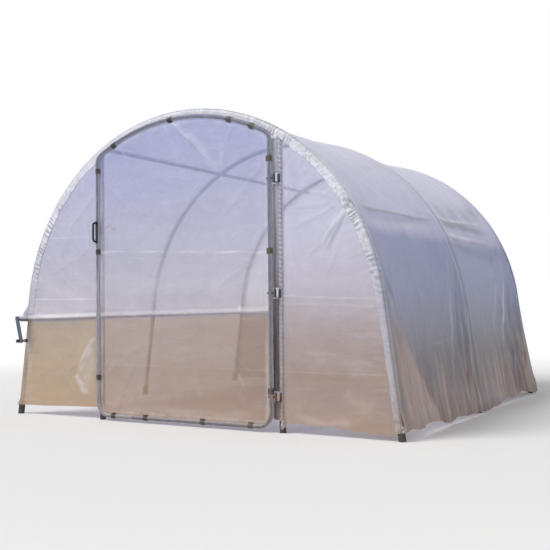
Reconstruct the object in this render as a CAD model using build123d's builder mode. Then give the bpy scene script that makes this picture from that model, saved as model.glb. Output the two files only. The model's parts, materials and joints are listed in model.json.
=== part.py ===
"""Polytunnel greenhouse: three steel hoops under a film cover, with a hinged film door.

The origin is on the ground under the middle of the tunnel. X runs across it, Y along it
from the door end to the rear, and Z is up. Sizes are in millimetres.
"""

from build123d import *
from math import ceil, cos, radians, sin, sqrt, tan
import os

# Overall shape: each hoop is an arc with a straight, splayed leg at each side
crown_height = 2459.0       # hoop centreline above the ground at the crown
hoop_radius = 1668.0        # arc of the hoop centreline
leg_slant = 7.8             # splay of the legs from the vertical, degrees
bay_length = 1750.0         # from one hoop to the next
bay_count = 2

# Tubes
hoop_tube = 38.0            # outer diameter of the hoops
post_tube = 38.0            # outer diameter of the doorway posts
purlin_tube = 32.0          # outer diameter of the lengthways rails
door_tube = 32.0            # outer diameter of the door frame
tube_wall = 2.0

# Cover
film_thickness = 2.0        # thicker than real film, so that it is a solid
film_gap = 0.5              # clearance between the film and the tubes under it
hem_width = 80.0            # margin of the cover folded over the end hoops
hem_thickness = 3.0
wrap_gap = 5.0              # bare post left beside each hinge

# Feet
cup_radius = 27.0
cup_height = 90.0
post_cup_radius = 24.5
post_cup_height = 85.0
cup_floor = 8.0             # solid bottom of each cup
seat_gap = 0.3              # clearance between a tube and what it sits in

# Doorway and door
post_offset = 857.0         # doorway posts from the middle of the tunnel
door_left = 862.0           # hinged door: free stile, left of the middle
door_right = 790.0          # hinge stile, right of the middle
door_top_drop = 43.0        # door arc inside the hoop's arc
door_foot = 25.0            # daylight under the door
door_clear = 5.4            # running clearance between the door and the hem
door_top_corner = 75.0      # corner radii of the frame's centreline
door_foot_corner = 110.0

# Door hinges
foot_hinge_height = 263.0
top_hinge_drop = 345.0      # below the top of the doorway post
middle_hinge_drop = 850.0   # below the top hinge
pin_radius = 6.0
pin_running_gap = 0.05
pin_offset = 36.0           # hinge line beyond the hinge stile
lug_radius = 13.0
lug_thickness = 6.0
eye_height = 56.0
eye_radius = 11.5
eye_shank_radius = 5.0
eye_nut_radius = 9.0
eye_nut_length = 8.0
eye_collar = 4.0            # nut between the stile and the eye
eye_tail = 4.0              # thread beyond the outer nut
saddle_wall = 4.5           # clamp round the post
saddle_height = 60.0
saddle_mouth = 7.0          # the clamp stops this far past the post's middle

# Door clips, handle and hook
clip_gap = 0.6
clip_wall = 2.4
clip_length = 42.0
clip_slot = 8.0
clip_lip = 11.0             # lips that grip the film inside the frame
left_foot_clip = 352.0      # lowest clips above the ground
right_foot_clip = 305.0
left_clip_drops = [110.0, 780.5]    # upper clips below the top of each stile
right_clip_drops = [186.0, 872.0]
foot_clips_from_left = [162.0, 489.0]
foot_clips_from_right = [180.0, 612.0]
top_clips_from_left = [172.0, 747.0]
top_clips_from_right = [150.0, 350.0]
handle_drop = 618.5         # handle's middle below the top of the free stile
handle_length = 170.0
handle_reach = 52.0
handle_rod = 8.5            # radius
handle_bend = 20.0
handle_strip = 20.0         # width of the handle's back plate
handle_strip_thickness = 5.0

# Wire hook on the left post, behind the door
hook_above_handle = 17.0
hook_rod = 3.0              # radius
hook_side = 12.0            # from the post's middle
hook_reach = 9.0            # in front of the post
hook_length = 105.0
hook_rise = 42.0
hook_bend = 6.0

# Lengthways rails and their clamps
left_purlin_angle = 118.0   # round the arch from the right-hand horizontal, degrees
right_purlin_angle = 31.7
clamp_wall = 3.0
clamp_length = 50.0
purlin_end = 15.0           # rail beyond the end hoops' centrelines

# Rolled-up side and its winder
roll_bar_drop = 180.0       # below the point where the hoops begin to curve
roll_bar_tube = 32.0
roll_radius = 28.0          # bar with the film rolled round it
crank_reach = 160.0         # front of the crank's grip before the front hoop
crank_shaft_gap = 0.05
shaft_insert = 120.0        # crank shaft inside the roll bar
roll_front = 70.0           # bar and roll before the front hoop
arm_width = 39.0
arm_thickness = 6.0
arm_length = 200.0
arm_angle = 14.0            # arm hangs this far inward from plumb, degrees
arm_offset = 113.0          # arm's middle before the front hoop
grip_radius = 12.0
grip_cap_radius = 15.0
grip_cap_length = 24.0
grip_back = 68.0            # grip behind the arm's middle

hoop_outer = hoop_tube / 2
hoop_inner = hoop_outer - tube_wall
arc_centre = crown_height - hoop_radius
half_length = bay_length * bay_count / 2
hoop_places = [bay_length * i - half_length for i in range(bay_count + 1)]
front = -half_length
film_inside = hoop_outer + film_gap
film_outside = film_inside + film_thickness
slant = radians(leg_slant)
spring_height = arc_centre + hoop_radius * sin(slant)
leg_end = cup_floor + hoop_outer * sin(slant) + seat_gap
hem_back = film_outside + film_gap
hem_front = hem_back + hem_thickness
door_depth = hem_front + door_clear + door_tube / 2
door_plane = front - door_depth
door_radius = hoop_radius - door_top_drop
door_bottom = door_foot + door_tube / 2
hinge_x = door_right + pin_offset
top_left = arc_centre + sqrt(door_radius**2 - door_left**2)
top_right = arc_centre + sqrt(door_radius**2 - door_right**2)
handle_height = top_left - handle_drop
hook_height = handle_height + hook_above_handle
post_station = front - hoop_outer + post_tube / 2   # posts flush with the front hoop
post_head = arc_centre + sqrt(hoop_radius**2 - post_offset**2)
top_hinge_height = post_head - top_hinge_drop
hinge_heights = [foot_hinge_height, top_hinge_height - middle_hinge_drop, top_hinge_height]
wrap_inside = post_tube / 2 + film_gap
wrap_outside = wrap_inside + film_thickness
roll_bar_height = spring_height - roll_bar_drop
roll_offset = hoop_outer + seat_gap + roll_radius
roll_x = -(
    (hoop_radius + roll_offset) * cos(slant)
    + (arc_centre + (hoop_radius + roll_offset) * sin(slant) - roll_bar_height) * tan(slant)
)
cover_half = half_length + film_outside
tall = crown_height * 2

os.makedirs("parts", exist_ok=True)


def save(builder, name):
    """Label the finished piece and write it to its own STEP file."""
    builder.part.label = name
    export_step(builder.part, f"parts/{name}.step")


def cross_plane(station):
    """Upright plane across the tunnel; a sketch on it is extruded towards the front."""
    return Plane.XZ.offset(-station)


def arch_region(offset):
    """Everything under the arch of the hoop centreline, moved out by offset."""
    radius = hoop_radius + offset
    side = radius * cos(slant)
    spring = arc_centre + radius * sin(slant)
    foot = side + spring * tan(slant)
    with BuildSketch() as region:
        with BuildLine():
            Line((-foot, 0), (-side, spring))
            ThreePointArc((-side, spring), (0, arc_centre + radius), (side, spring))
            Line((side, spring), (foot, 0))
            Line((foot, 0), (-foot, 0))
        make_face()
    return region.sketch


def sector(start, end):
    """Wedge from the arch's centre that keeps what lies between two angles."""
    with BuildSketch() as wedge:
        corners = [(0, arc_centre)]
        steps = ceil((end - start) / 45)
        for i in range(steps + 1):
            angle = radians(start + (end - start) * i / steps)
            corners.append((tall * cos(angle), arc_centre + tall * sin(angle)))
        with BuildLine():
            Polyline(*corners, close=True)
        make_face()
    return wedge.sketch


def box_region(left, right, low, high):
    """Rectangle given by its four sides."""
    with BuildSketch() as region:
        with Locations(((left + right) / 2, (low + high) / 2)):
            Rectangle(right - left, high - low)
    return region.sketch


def leg_plane(side, height):
    """Plane square to a leg at this height, facing up the leg; its x axis is the tunnel's length."""
    reach = hoop_radius * cos(slant) + (spring_height - height) * tan(slant)
    return Plane(
        origin=(side * reach, 0, height),
        x_dir=(0, 1, 0),
        z_dir=(-side * sin(slant), 0, cos(slant)),
    )


def foot_space(radius, post_radius, height, post_height):
    """Solid room of the foot cups, used for the cups and for the notches in the film."""
    with BuildPart() as space:
        for side in (-1, 1):
            with BuildSketch(leg_plane(side, 0)):
                with Locations([(place, 0) for place in hoop_places]):
                    Circle(radius)
            extrude(amount=height / cos(slant), both=True)
        with BuildSketch():
            with Locations([(-post_offset, post_station), (post_offset, post_station)]):
                Circle(post_radius)
        extrude(amount=post_height)
        split(bisect_by=Plane.XY, keep=Keep.TOP)
    return space.part


notches = foot_space(
    cup_radius + seat_gap,
    post_cup_radius + seat_gap,
    cup_height + seat_gap,
    post_cup_height + seat_gap,
)


# Hoops: a straight leg and a half bow at each side, butted together
def hoop_legs(side, name):
    with BuildPart() as legs:
        with BuildSketch(leg_plane(side, leg_end)):
            with Locations([(place, 0) for place in hoop_places]):
                Circle(hoop_outer)
                Circle(hoop_inner, mode=Mode.SUBTRACT)
        extrude(amount=(spring_height - leg_end) / cos(slant))
    save(legs, name)


def hoop_bows(side, name):
    with BuildPart() as bows:
        with BuildSketch(Plane.YZ):
            with Locations([(place, crown_height) for place in hoop_places]):
                Circle(hoop_outer)
                Circle(hoop_inner, mode=Mode.SUBTRACT)
        revolve(axis=Axis((0, 0, arc_centre), (0, side, 0)), revolution_arc=90 - leg_slant)
    save(bows, name)


hoop_legs(-1, "left_hoop_legs")
hoop_legs(1, "right_hoop_legs")
hoop_bows(-1, "left_hoop_bows")
hoop_bows(1, "right_hoop_bows")

# Feet: closed cups that the legs and posts stand in
with BuildPart() as foot_cups:
    add(foot_space(cup_radius, post_cup_radius, cup_height, post_cup_height))
    for side in (-1, 1):
        with BuildSketch(leg_plane(side, leg_end).offset(-seat_gap)):
            with Locations([(place, 0) for place in hoop_places]):
                Circle(hoop_outer + seat_gap)
        extrude(amount=cup_height * 2, mode=Mode.SUBTRACT)
    with BuildSketch(Plane.XY.offset(cup_floor)):
        with Locations([(-post_offset, post_station), (post_offset, post_station)]):
            Circle(post_tube / 2 + seat_gap)
    extrude(amount=cup_height, mode=Mode.SUBTRACT)
save(foot_cups, "foot_cups")


# Doorway posts, coped to fit under the front hoop
def doorway_post(side, name):
    with BuildPart() as post:
        with BuildSketch(Plane.XY.offset(cup_floor + seat_gap)):
            with Locations((side * post_offset, post_station)):
                Circle(post_tube / 2)
                Circle(post_tube / 2 - tube_wall, mode=Mode.SUBTRACT)
        extrude(amount=post_head + hoop_tube - cup_floor)
        with Locations((0, front, arc_centre)):
            Torus(hoop_radius, hoop_outer + seat_gap, rotation=(90, 0, 0), mode=Mode.SUBTRACT)
        keep = post.solids().sort_by(SortBy.VOLUME)[-1]
    with BuildPart() as coped:
        add(keep)
    save(coped, name)


doorway_post(-1, "left_door_post")
doorway_post(1, "right_door_post")

# Lengthways rails, clamped under the hoops
purlin_drop = hoop_outer + seat_gap + clamp_wall + seat_gap + purlin_tube / 2


def arch_point(angle, offset):
    """Point of the arch's cross-section at this angle and offset."""
    radius = hoop_radius + offset
    return (radius * cos(radians(angle)), arc_centre + radius * sin(radians(angle)))


def purlin(angle, name):
    with BuildPart() as rail:
        with BuildSketch(cross_plane(half_length + purlin_end)):
            with Locations(arch_point(angle, -purlin_drop)):
                Circle(purlin_tube / 2)
                Circle(purlin_tube / 2 - tube_wall, mode=Mode.SUBTRACT)
        extrude(amount=2 * (half_length + purlin_end))
    save(rail, name)


purlin(left_purlin_angle, "left_purlin")
purlin(right_purlin_angle, "right_purlin")


def purlin_clamps(angle, name):
    """Saddle under each hoop joined to a ring round the rail."""
    x, z = arch_point(angle, 0)
    ring_inner = purlin_tube / 2 + seat_gap
    saddle_inner = hoop_outer + seat_gap
    with BuildPart() as clamps:
        for place in hoop_places:
            across = Plane(
                origin=(x, place, z),
                x_dir=(cos(radians(angle)), 0, sin(radians(angle))),
                z_dir=(-sin(radians(angle)), 0, cos(radians(angle))),
            )
            with BuildSketch(across):
                Circle(saddle_inner + clamp_wall)
                Circle(saddle_inner, mode=Mode.SUBTRACT)
                with Locations((saddle_inner + clamp_wall, 0)):
                    Rectangle(2 * (saddle_inner + clamp_wall), 4 * hoop_outer, mode=Mode.SUBTRACT)
            extrude(amount=clamp_length / 2, both=True)
            with BuildSketch(cross_plane(place + hoop_outer)):
                with Locations(arch_point(angle, -purlin_drop)):
                    Circle(ring_inner + clamp_wall)
            extrude(amount=2 * hoop_outer)
            with BuildSketch(cross_plane(place + hoop_outer)):
                with Locations(arch_point(angle, -purlin_drop)):
                    Circle(ring_inner)
            extrude(amount=2 * hoop_outer, mode=Mode.SUBTRACT)
        split(bisect_by=Plane.XZ.offset(half_length + hoop_outer), keep=Keep.BOTTOM)
        split(bisect_by=Plane.XZ.offset(-half_length - hoop_outer), keep=Keep.TOP)
    save(clamps, name)


purlin_clamps(left_purlin_angle, "left_purlin_clamps")
purlin_clamps(right_purlin_angle, "right_purlin_clamps")


# Cover: one sheet, parted along straight lines so that each node stays simple
def cover_piece(region, name, notched=False):
    with BuildPart() as piece:
        with BuildSketch(cross_plane(cover_half)):
            add(arch_region(film_outside))
            add(arch_region(film_inside), mode=Mode.SUBTRACT)
            add(region, mode=Mode.INTERSECT)
        extrude(amount=2 * cover_half)
        if notched:
            add(notches, mode=Mode.SUBTRACT)
    save(piece, name)


# The rolled side's film ends where it meets the roll
roll_tangent = sqrt(roll_radius**2 - (roll_offset - film_outside) ** 2)
left_film_end = roll_bar_height + (roll_tangent + film_gap) * cos(slant) + film_outside * sin(slant)
haunch_angle = (180 - 2 * leg_slant) / 4 + leg_slant
with BuildSketch() as left_haunch:
    add(sector(180 - haunch_angle, 200))
    add(box_region(-tall, 0, arc_centre - 1, arc_centre + 1))
    add(box_region(-tall, 0, left_film_end, spring_height))
    add(sector(90, 180 - haunch_angle), mode=Mode.SUBTRACT)
    add(box_region(-tall, 0, -tall, left_film_end), mode=Mode.SUBTRACT)
cover_piece(left_haunch.sketch, "left_haunch_film")
cover_piece(sector(90, 180 - haunch_angle), "left_crown_film")
cover_piece(sector(haunch_angle, 90), "right_crown_film")
cover_piece(sector(leg_slant, haunch_angle), "right_haunch_film")
with BuildSketch() as right_wall:
    add(box_region(0, tall, 0, tall))
    add(sector(leg_slant, 135), mode=Mode.SUBTRACT)
cover_piece(right_wall.sketch, "right_wall_film", notched=True)


# End panels
def end_panel(region, back, name):
    with BuildPart() as panel:
        with BuildSketch(cross_plane(back)):
            add(arch_region(hoop_outer))
            add(region, mode=Mode.INTERSECT)
        extrude(amount=film_thickness)
        add(notches, mode=Mode.SUBTRACT)
    save(panel, name)


wrap_edge = post_offset + wrap_outside + film_gap
end_panel(box_region(-tall, film_gap - post_offset, 0, tall), front - film_inside, "front_left_panel")
end_panel(box_region(wrap_edge, tall, 0, tall), front - film_inside, "front_right_panel")
end_panel(box_region(-tall, tall, 0, tall), half_length + film_outside, "rear_panel")


# Hems: the cover's margin folded over the end hoops
hem_foot = cup_height + cup_radius * sin(slant) + film_gap


def hem(back, name):
    with BuildPart() as strip:
        with BuildSketch(cross_plane(back)):
            add(arch_region(film_outside))
            add(arch_region(film_outside - hem_width), mode=Mode.SUBTRACT)
            add(box_region(-tall, tall, 0, hem_foot), mode=Mode.SUBTRACT)
            add(box_region(-tall, 0, 0, left_film_end), mode=Mode.SUBTRACT)
        extrude(amount=hem_thickness)
    save(strip, name)


hem(front - hem_back, "front_hem")
hem(half_length + hem_front, "rear_hem")

# Film wound round the hinge post between the hinges
post_top = arc_centre + sqrt((hoop_radius - hoop_outer) ** 2 - (post_offset + wrap_outside) ** 2)
wrap_stops = [post_cup_height]
for height in hinge_heights:
    wrap_stops += [height - saddle_height / 2, height + saddle_height / 2]
wrap_stops.append(post_top)
with BuildPart() as post_wrap:
    for low, high in zip(wrap_stops[::2], wrap_stops[1::2]):
        with BuildSketch(Plane.XY.offset(low + wrap_gap)):
            with Locations((post_offset, post_station)):
                Circle(wrap_outside)
                Circle(wrap_inside, mode=Mode.SUBTRACT)
        extrude(amount=high - low - 2 * wrap_gap)
save(post_wrap, "post_wrap")

# Hinge brackets: a C-clamp on the post, a lug and an upright pin
with BuildPart() as hinge_brackets:
    for height in hinge_heights:
        lug_top = height - eye_height / 2 - seat_gap
        with BuildSketch(Plane.XY.offset(lug_top - lug_thickness)):
            with Locations((hinge_x, door_plane), (post_offset, post_station)):
                Circle(lug_radius)
            make_hull()
            with Locations((post_offset, post_station)):
                Circle(post_tube / 2 + seat_gap, mode=Mode.SUBTRACT)
            with Locations((post_offset + saddle_mouth, post_station)):
                Rectangle(post_tube, 6 * post_tube, align=(Align.MIN, Align.CENTER), mode=Mode.SUBTRACT)
        extrude(amount=lug_thickness)
        with BuildSketch(Plane.XY.offset(height - saddle_height / 2)):
            with Locations((post_offset, post_station)):
                Circle(post_tube / 2 + saddle_wall)
                Circle(post_tube / 2 + seat_gap, mode=Mode.SUBTRACT)
            with Locations((post_offset + saddle_mouth, post_station)):
                Rectangle(post_tube, 6 * post_tube, align=(Align.MIN, Align.CENTER), mode=Mode.SUBTRACT)
        extrude(amount=saddle_height)
        with BuildSketch(Plane.XY.offset(lug_top - lug_thickness)):
            with Locations((hinge_x, door_plane)):
                Circle(pin_radius)
        extrude(amount=lug_thickness + eye_height + 2 * pin_radius)
save(hinge_brackets, "hinge_brackets")

# Door frame: one bent tube, arched at the top like the hoop
with BuildSketch(cross_plane(door_plane)) as door_outline:
    with BuildLine():
        Line((-door_left, door_bottom), (-door_left, top_left))
        ThreePointArc((-door_left, top_left), (0, arc_centre + door_radius), (door_right, top_right))
        Line((door_right, top_right), (door_right, door_bottom))
        Line((door_right, door_bottom), (-door_left, door_bottom))
    make_face()
    fillet(door_outline.vertices().group_by(Axis.Y)[0], radius=door_foot_corner)
    tops = door_outline.vertices().filter_by_position(Axis.Y, min(top_left, top_right) - 1, tall)
    fillet(tops, radius=door_top_corner)
door_loop = door_outline.sketch.faces()[0].outer_wire()
with BuildPart() as door_frame:
    for run in door_loop.edges():
        with BuildSketch(Plane(origin=run @ 0, z_dir=run % 0)):
            Circle(door_tube / 2)
            Circle(door_tube / 2 - tube_wall, mode=Mode.SUBTRACT)
        sweep(path=run)
    for height in hinge_heights:
        with BuildSketch(Plane.YZ.offset(door_right - door_tube)):
            with Locations((door_plane, height)):
                Circle(eye_shank_radius + seat_gap)
        extrude(amount=2 * door_tube, mode=Mode.SUBTRACT)
save(door_frame, "door_frame")

# Door film, set in the middle of the frame
with BuildPart() as door_film:
    with BuildSketch(cross_plane(door_plane + film_thickness / 2)):
        add(door_outline.sketch_local)
        offset(amount=-(door_tube / 2 + film_gap))
        with Locations([(door_right - door_tube / 2, height) for height in hinge_heights]):
            Rectangle(
                2 * (eye_nut_length + eye_tail + film_gap),
                2 * (eye_nut_radius + film_gap),
                mode=Mode.SUBTRACT,
            )
    extrude(amount=film_thickness)
save(door_film, "door_film")


# Clips: slit sleeves that hold the film on the frame, with the slit towards the film
clip_inside = door_tube / 2 + clip_gap
clip_planes = []
for height in [left_foot_clip] + [top_left - drop for drop in left_clip_drops]:
    stile = (-door_left, door_plane, height)
    clip_planes.append(Plane(origin=stile, x_dir=(1, 0, 0), z_dir=(0, 0, 1)))
for height in [right_foot_clip] + [top_right - drop for drop in right_clip_drops]:
    stile = (door_right, door_plane, height)
    clip_planes.append(Plane(origin=stile, x_dir=(-1, 0, 0), z_dir=(0, 0, 1)))
foot_places = [step - door_left for step in foot_clips_from_left]
foot_places += [door_right - step for step in foot_clips_from_right]
for place in foot_places:
    foot = (place, door_plane, door_bottom)
    clip_planes.append(Plane(origin=foot, x_dir=(0, 0, 1), z_dir=(1, 0, 0)))
top_places = [step - door_left for step in top_clips_from_left]
top_places += [door_right - step for step in top_clips_from_right]
for place in top_places:
    run = place / door_radius
    rise = sqrt(1 - run**2)
    top = (place, door_plane, arc_centre + door_radius * rise)
    clip_planes.append(Plane(origin=top, x_dir=(-run, 0, -rise), z_dir=(rise, 0, -run)))
with BuildPart() as door_clips:
    for clip_plane in clip_planes:
        with BuildSketch(clip_plane):
            Circle(clip_inside + clip_wall)
            Circle(clip_inside, mode=Mode.SUBTRACT)
            with Locations((door_tube, 0)):
                Rectangle(2 * door_tube, clip_slot, mode=Mode.SUBTRACT)
            lip = clip_slot / 2 + clip_wall / 2
            with Locations((clip_inside, lip), (clip_inside, -lip)):
                Rectangle(clip_lip, clip_wall, align=(Align.MIN, Align.CENTER))
            Circle(clip_inside, mode=Mode.SUBTRACT)
        extrude(amount=clip_length / 2, both=True)
save(door_clips, "door_clips")

# Eyes: each bolted through the hinge stile and turning on a bracket's pin
with BuildPart() as hinge_eyes:
    for height in hinge_heights:
        with BuildSketch(Plane.XY.offset(height - eye_height / 2)):
            with Locations((hinge_x, door_plane)):
                Circle(eye_radius)
        extrude(amount=eye_height)
        with BuildSketch(Plane.YZ.offset(hinge_x)):
            with Locations((door_plane, height)):
                Circle(eye_shank_radius)
        extrude(amount=-(pin_offset + door_tube / 2 + eye_nut_length + eye_tail))
        for side, length in ((-1, eye_nut_length), (1, eye_collar)):
            with BuildSketch(Plane.YZ.offset(door_right + side * (door_tube / 2 + seat_gap))):
                with Locations((door_plane, height)):
                    RegularPolygon(eye_nut_radius, 6)
            extrude(amount=side * length)
        with BuildSketch(Plane.XY.offset(height - eye_height / 2)):
            with Locations((hinge_x, door_plane)):
                Circle(pin_radius + pin_running_gap)
        extrude(amount=eye_height, mode=Mode.SUBTRACT)
save(hinge_eyes, "hinge_eyes")

# Pull handle on the free stile: a bent rod on a back plate
handle_face = door_plane - door_tube / 2 - seat_gap
strip_face = handle_face - handle_strip_thickness
handle_half = handle_length / 2 - handle_rod
with BuildPart() as door_handle:
    with BuildLine() as handle_path:
        FilletPolyline(
            (-door_left, strip_face, handle_height - handle_half),
            (-door_left, handle_face - handle_reach + handle_rod, handle_height - handle_half),
            (-door_left, handle_face - handle_reach + handle_rod, handle_height + handle_half),
            (-door_left, strip_face, handle_height + handle_half),
            radius=handle_bend,
        )
    with BuildSketch(Plane(origin=handle_path.line @ 0, z_dir=handle_path.line % 0)):
        Circle(handle_rod)
    sweep(path=handle_path.line)
    with BuildSketch(Plane.XZ.offset(-handle_face)):
        with Locations((-door_left, handle_height)):
            RectangleRounded(handle_strip, handle_length + 2 * handle_rod, handle_strip / 3)
    extrude(amount=handle_strip_thickness)
save(door_handle, "door_handle")

# Wire hook on the left post, behind the door
hook_x = hook_side - post_offset
hook_root = post_station - sqrt((post_tube / 2) ** 2 - (hook_side - hook_rod) ** 2) - seat_gap
hook_front = post_station - post_tube / 2 - hook_reach
with BuildPart() as post_hook:
    with BuildLine() as hook_path:
        FilletPolyline(
            (hook_x, hook_root, hook_height),
            (hook_x, hook_front, hook_height),
            (hook_x + hook_length, hook_front, hook_height + hook_rise),
            radius=hook_bend,
        )
    with BuildSketch(Plane(origin=hook_path.line @ 0, z_dir=hook_path.line % 0)):
        Circle(hook_rod)
    sweep(path=hook_path.line)
save(post_hook, "post_hook")

# Roll bar with the side film rolled round it, resting against the legs
roll_rear = half_length + crank_reach
with BuildPart() as roll_bar:
    with BuildSketch(cross_plane(roll_rear)):
        with Locations((roll_x, roll_bar_height)):
            Circle(roll_bar_tube / 2)
            Circle(roll_bar_tube / 2 - tube_wall, mode=Mode.SUBTRACT)
    extrude(amount=roll_rear + half_length + roll_front)
save(roll_bar, "roll_bar")
with BuildPart() as film_roll:
    with BuildSketch(cross_plane(cover_half)):
        with Locations((roll_x, roll_bar_height)):
            Circle(roll_radius)
            Circle(roll_bar_tube / 2 + seat_gap, mode=Mode.SUBTRACT)
    extrude(amount=cover_half + half_length + roll_front)
save(film_roll, "film_roll")

# Crank: a shaft in the end of the roll bar, a flat arm and a grip
shaft_radius = roll_bar_tube / 2 - tube_wall - crank_shaft_gap
arm_back = front - arm_offset + arm_thickness / 2
with BuildPart() as crank_shaft:
    with BuildSketch(cross_plane(front - roll_front + shaft_insert)):
        with Locations((roll_x, roll_bar_height)):
            Circle(shaft_radius)
    extrude(amount=front - roll_front + shaft_insert - arm_back)
save(crank_shaft, "crank_shaft")
swing = radians(arm_angle)
grip_x = roll_x + arm_length * sin(swing)
grip_z = roll_bar_height - arm_length * cos(swing)
with BuildPart() as crank_arm:
    with BuildSketch(cross_plane(arm_back)):
        with Locations((roll_x, roll_bar_height), (grip_x, grip_z)):
            Circle(arm_width / 2)
        make_hull()
        with Locations((grip_x, grip_z)):
            Circle(grip_radius + seat_gap, mode=Mode.SUBTRACT)
    extrude(amount=arm_thickness)
save(crank_arm, "crank_arm")
with BuildPart() as crank_grip:
    with BuildSketch(cross_plane(front - arm_offset + grip_back)):
        with Locations((grip_x, grip_z)):
            Circle(grip_radius)
    extrude(amount=grip_back - arm_offset + crank_reach)
    for back in (front - arm_offset + grip_back, front - crank_reach + grip_cap_length):
        with BuildSketch(cross_plane(back)):
            with Locations((grip_x, grip_z)):
                Circle(grip_cap_radius)
        extrude(amount=grip_cap_length)
save(crank_grip, "crank_grip")
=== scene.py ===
import bpy
import json
import math
import numpy as np
from mathutils import Matrix, Vector


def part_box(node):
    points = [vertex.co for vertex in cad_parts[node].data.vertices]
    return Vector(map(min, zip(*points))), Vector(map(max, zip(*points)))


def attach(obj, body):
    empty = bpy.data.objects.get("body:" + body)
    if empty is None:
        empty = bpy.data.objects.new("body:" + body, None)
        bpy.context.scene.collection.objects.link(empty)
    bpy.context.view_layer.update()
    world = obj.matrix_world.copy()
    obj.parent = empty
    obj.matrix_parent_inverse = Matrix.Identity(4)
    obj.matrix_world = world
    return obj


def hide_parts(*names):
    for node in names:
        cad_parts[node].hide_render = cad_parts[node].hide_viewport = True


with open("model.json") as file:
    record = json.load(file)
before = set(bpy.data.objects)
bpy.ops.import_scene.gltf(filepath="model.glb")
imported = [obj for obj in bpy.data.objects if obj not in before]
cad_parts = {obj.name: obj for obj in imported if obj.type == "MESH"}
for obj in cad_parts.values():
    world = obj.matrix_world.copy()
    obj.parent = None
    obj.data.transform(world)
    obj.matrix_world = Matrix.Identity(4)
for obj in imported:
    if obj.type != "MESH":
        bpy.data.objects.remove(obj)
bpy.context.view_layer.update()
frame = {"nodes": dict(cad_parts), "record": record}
print("frame loaded", len(frame["nodes"]), "nodes")


def middle(name):
    # middle of a node's box
    return [(low + high) / 2 for low, high in zip(*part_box(name))]


def nodePoints(name):
    mesh = frame["nodes"][name].data
    place = np.empty(len(mesh.vertices) * 3)
    mesh.vertices.foreach_get("co", place)
    return place.reshape(-1, 3)


# The tunnel in metres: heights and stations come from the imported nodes
tunnel = {
    "hoopRadius": 1.668,      # arc of the hoop's centreline
    "legSlant": math.radians(7.8),
    "tubeRadius": 0.019,
    "doorTube": 0.016,
    "filmRide": 0.0205,       # film above the hoop's centreline
    "panelReach": 0.01,       # how far an end panel goes past the hoop's centreline
}
hoopRadius, legSlant, doorTube = tunnel["hoopRadius"], tunnel["legSlant"], tunnel["doorTube"]
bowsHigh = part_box("left_hoop_bows")[1]
arcCentre = bowsHigh.z - tunnel["tubeRadius"] - hoopRadius
halfLength = bowsHigh.y - tunnel["tubeRadius"]      # also the length of one bay
springHeight = arcCentre + hoopRadius * math.sin(legSlant)
arcHalf = hoopRadius * (math.pi / 2 - legSlant)      # crown to the top of a leg, along the hoop
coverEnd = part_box("left_crown_film")[1].y
postOffset, postStation = middle("right_door_post")[:2]
doorPlane = middle("door_film")[1]
doorLow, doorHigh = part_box("door_frame")
doorArc = doorHigh.z - doorTube - arcCentre
rollLow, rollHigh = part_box("film_roll")
rollX, rollZ = middle("film_roll")[::2]


def linked(name, data):
    made = bpy.data.objects.new(name, data)
    bpy.context.scene.collection.objects.link(made)
    return made


# Camera at the viewing angle
view = {"place": (4.086, -7.472, 0.976), "yaw": -0.521, "pitch": 0.028, "roll": -0.01, "lens": 58.3, "sensor": 36}
forward = Vector((math.sin(view["yaw"]) * math.cos(view["pitch"]),
                  math.cos(view["yaw"]) * math.cos(view["pitch"]), math.sin(view["pitch"])))
level = Vector((math.cos(view["yaw"]), -math.sin(view["yaw"]), 0))
upright = level.cross(forward)
turnC, turnS = math.cos(view["roll"]), math.sin(view["roll"])
right, upward = level * turnC + upright * turnS, upright * turnC - level * turnS
cameraData = bpy.data.cameras.new("tunnelCamera")
cameraData.lens, cameraData.sensor_width = view["lens"], view["sensor"]
camera = linked("tunnelCamera", cameraData)
camera.matrix_world = Matrix.Translation(view["place"]) @ Matrix((right, upward, -forward)).transposed().to_4x4()
bpy.context.scene.camera = camera
bpy.context.scene.view_settings.view_transform = "Standard"


class Shade:
    # a value, colour, place or shader in a node tree, so that sums of them are written as sums
    def __init__(self, tree, socket):
        self.tree, self.socket = tree, socket

    def calc(self, operation, *others, clamp=False):
        return node(self.tree, "Math", dict(enumerate([self, *others])), operation=operation, use_clamp=clamp)

    def __add__(self, other):
        return self.calc("ADD", other)

    def __sub__(self, other):
        return self.calc("SUBTRACT", other)

    def __rsub__(self, other):
        return self.calc("MULTIPLY_ADD", -1.0, other)

    def __mul__(self, other):
        return self.calc("MULTIPLY", other)

    def clamped(self):
        return self.calc("ADD", 0.0, clamp=True)

    def between(self, first, second):
        # this share of the second colour over the first
        first, second = (colour if isinstance(colour, Shade) else (*colour, 1) for colour in (first, second))
        return node(self.tree, "Mix", {0: self, 6: first, 7: second}, 2, data_type="RGBA")

    def spread(self, low, high, toLow=0.0, toHigh=1.0):
        return node(self.tree, "MapRange", {0: self, 1: low, 2: high, 3: toLow, 4: toHigh},
                    interpolation_type="SMOOTHSTEP")

    def ramp(self, reach, stops):
        # colours or grey levels at values up to reach, joined by straight blends
        made = self.tree.nodes.new("ShaderNodeValToRGB")
        self.tree.links.new(self.calc("DIVIDE", reach).socket, made.inputs[0])
        points = made.color_ramp.elements
        while len(points) < len(stops):
            points.new(0.5)
        for point, (at, *colour) in zip(points, stops):
            point.position = at / reach
            point.color = (*(colour * 3)[:3], 1)
        return Shade(self.tree, made.outputs[0])

    def grain(self, scale, detail, rough, bend=0.0):
        return node(self.tree, "TexNoise", {"Vector": self, "Scale": scale, "Detail": detail, "Roughness": rough,
                                            "Distortion": bend})

    def bump(self, strength, depth):
        return node(self.tree, "Bump", {"Strength": strength, "Distance": depth, "Height": self})


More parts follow.
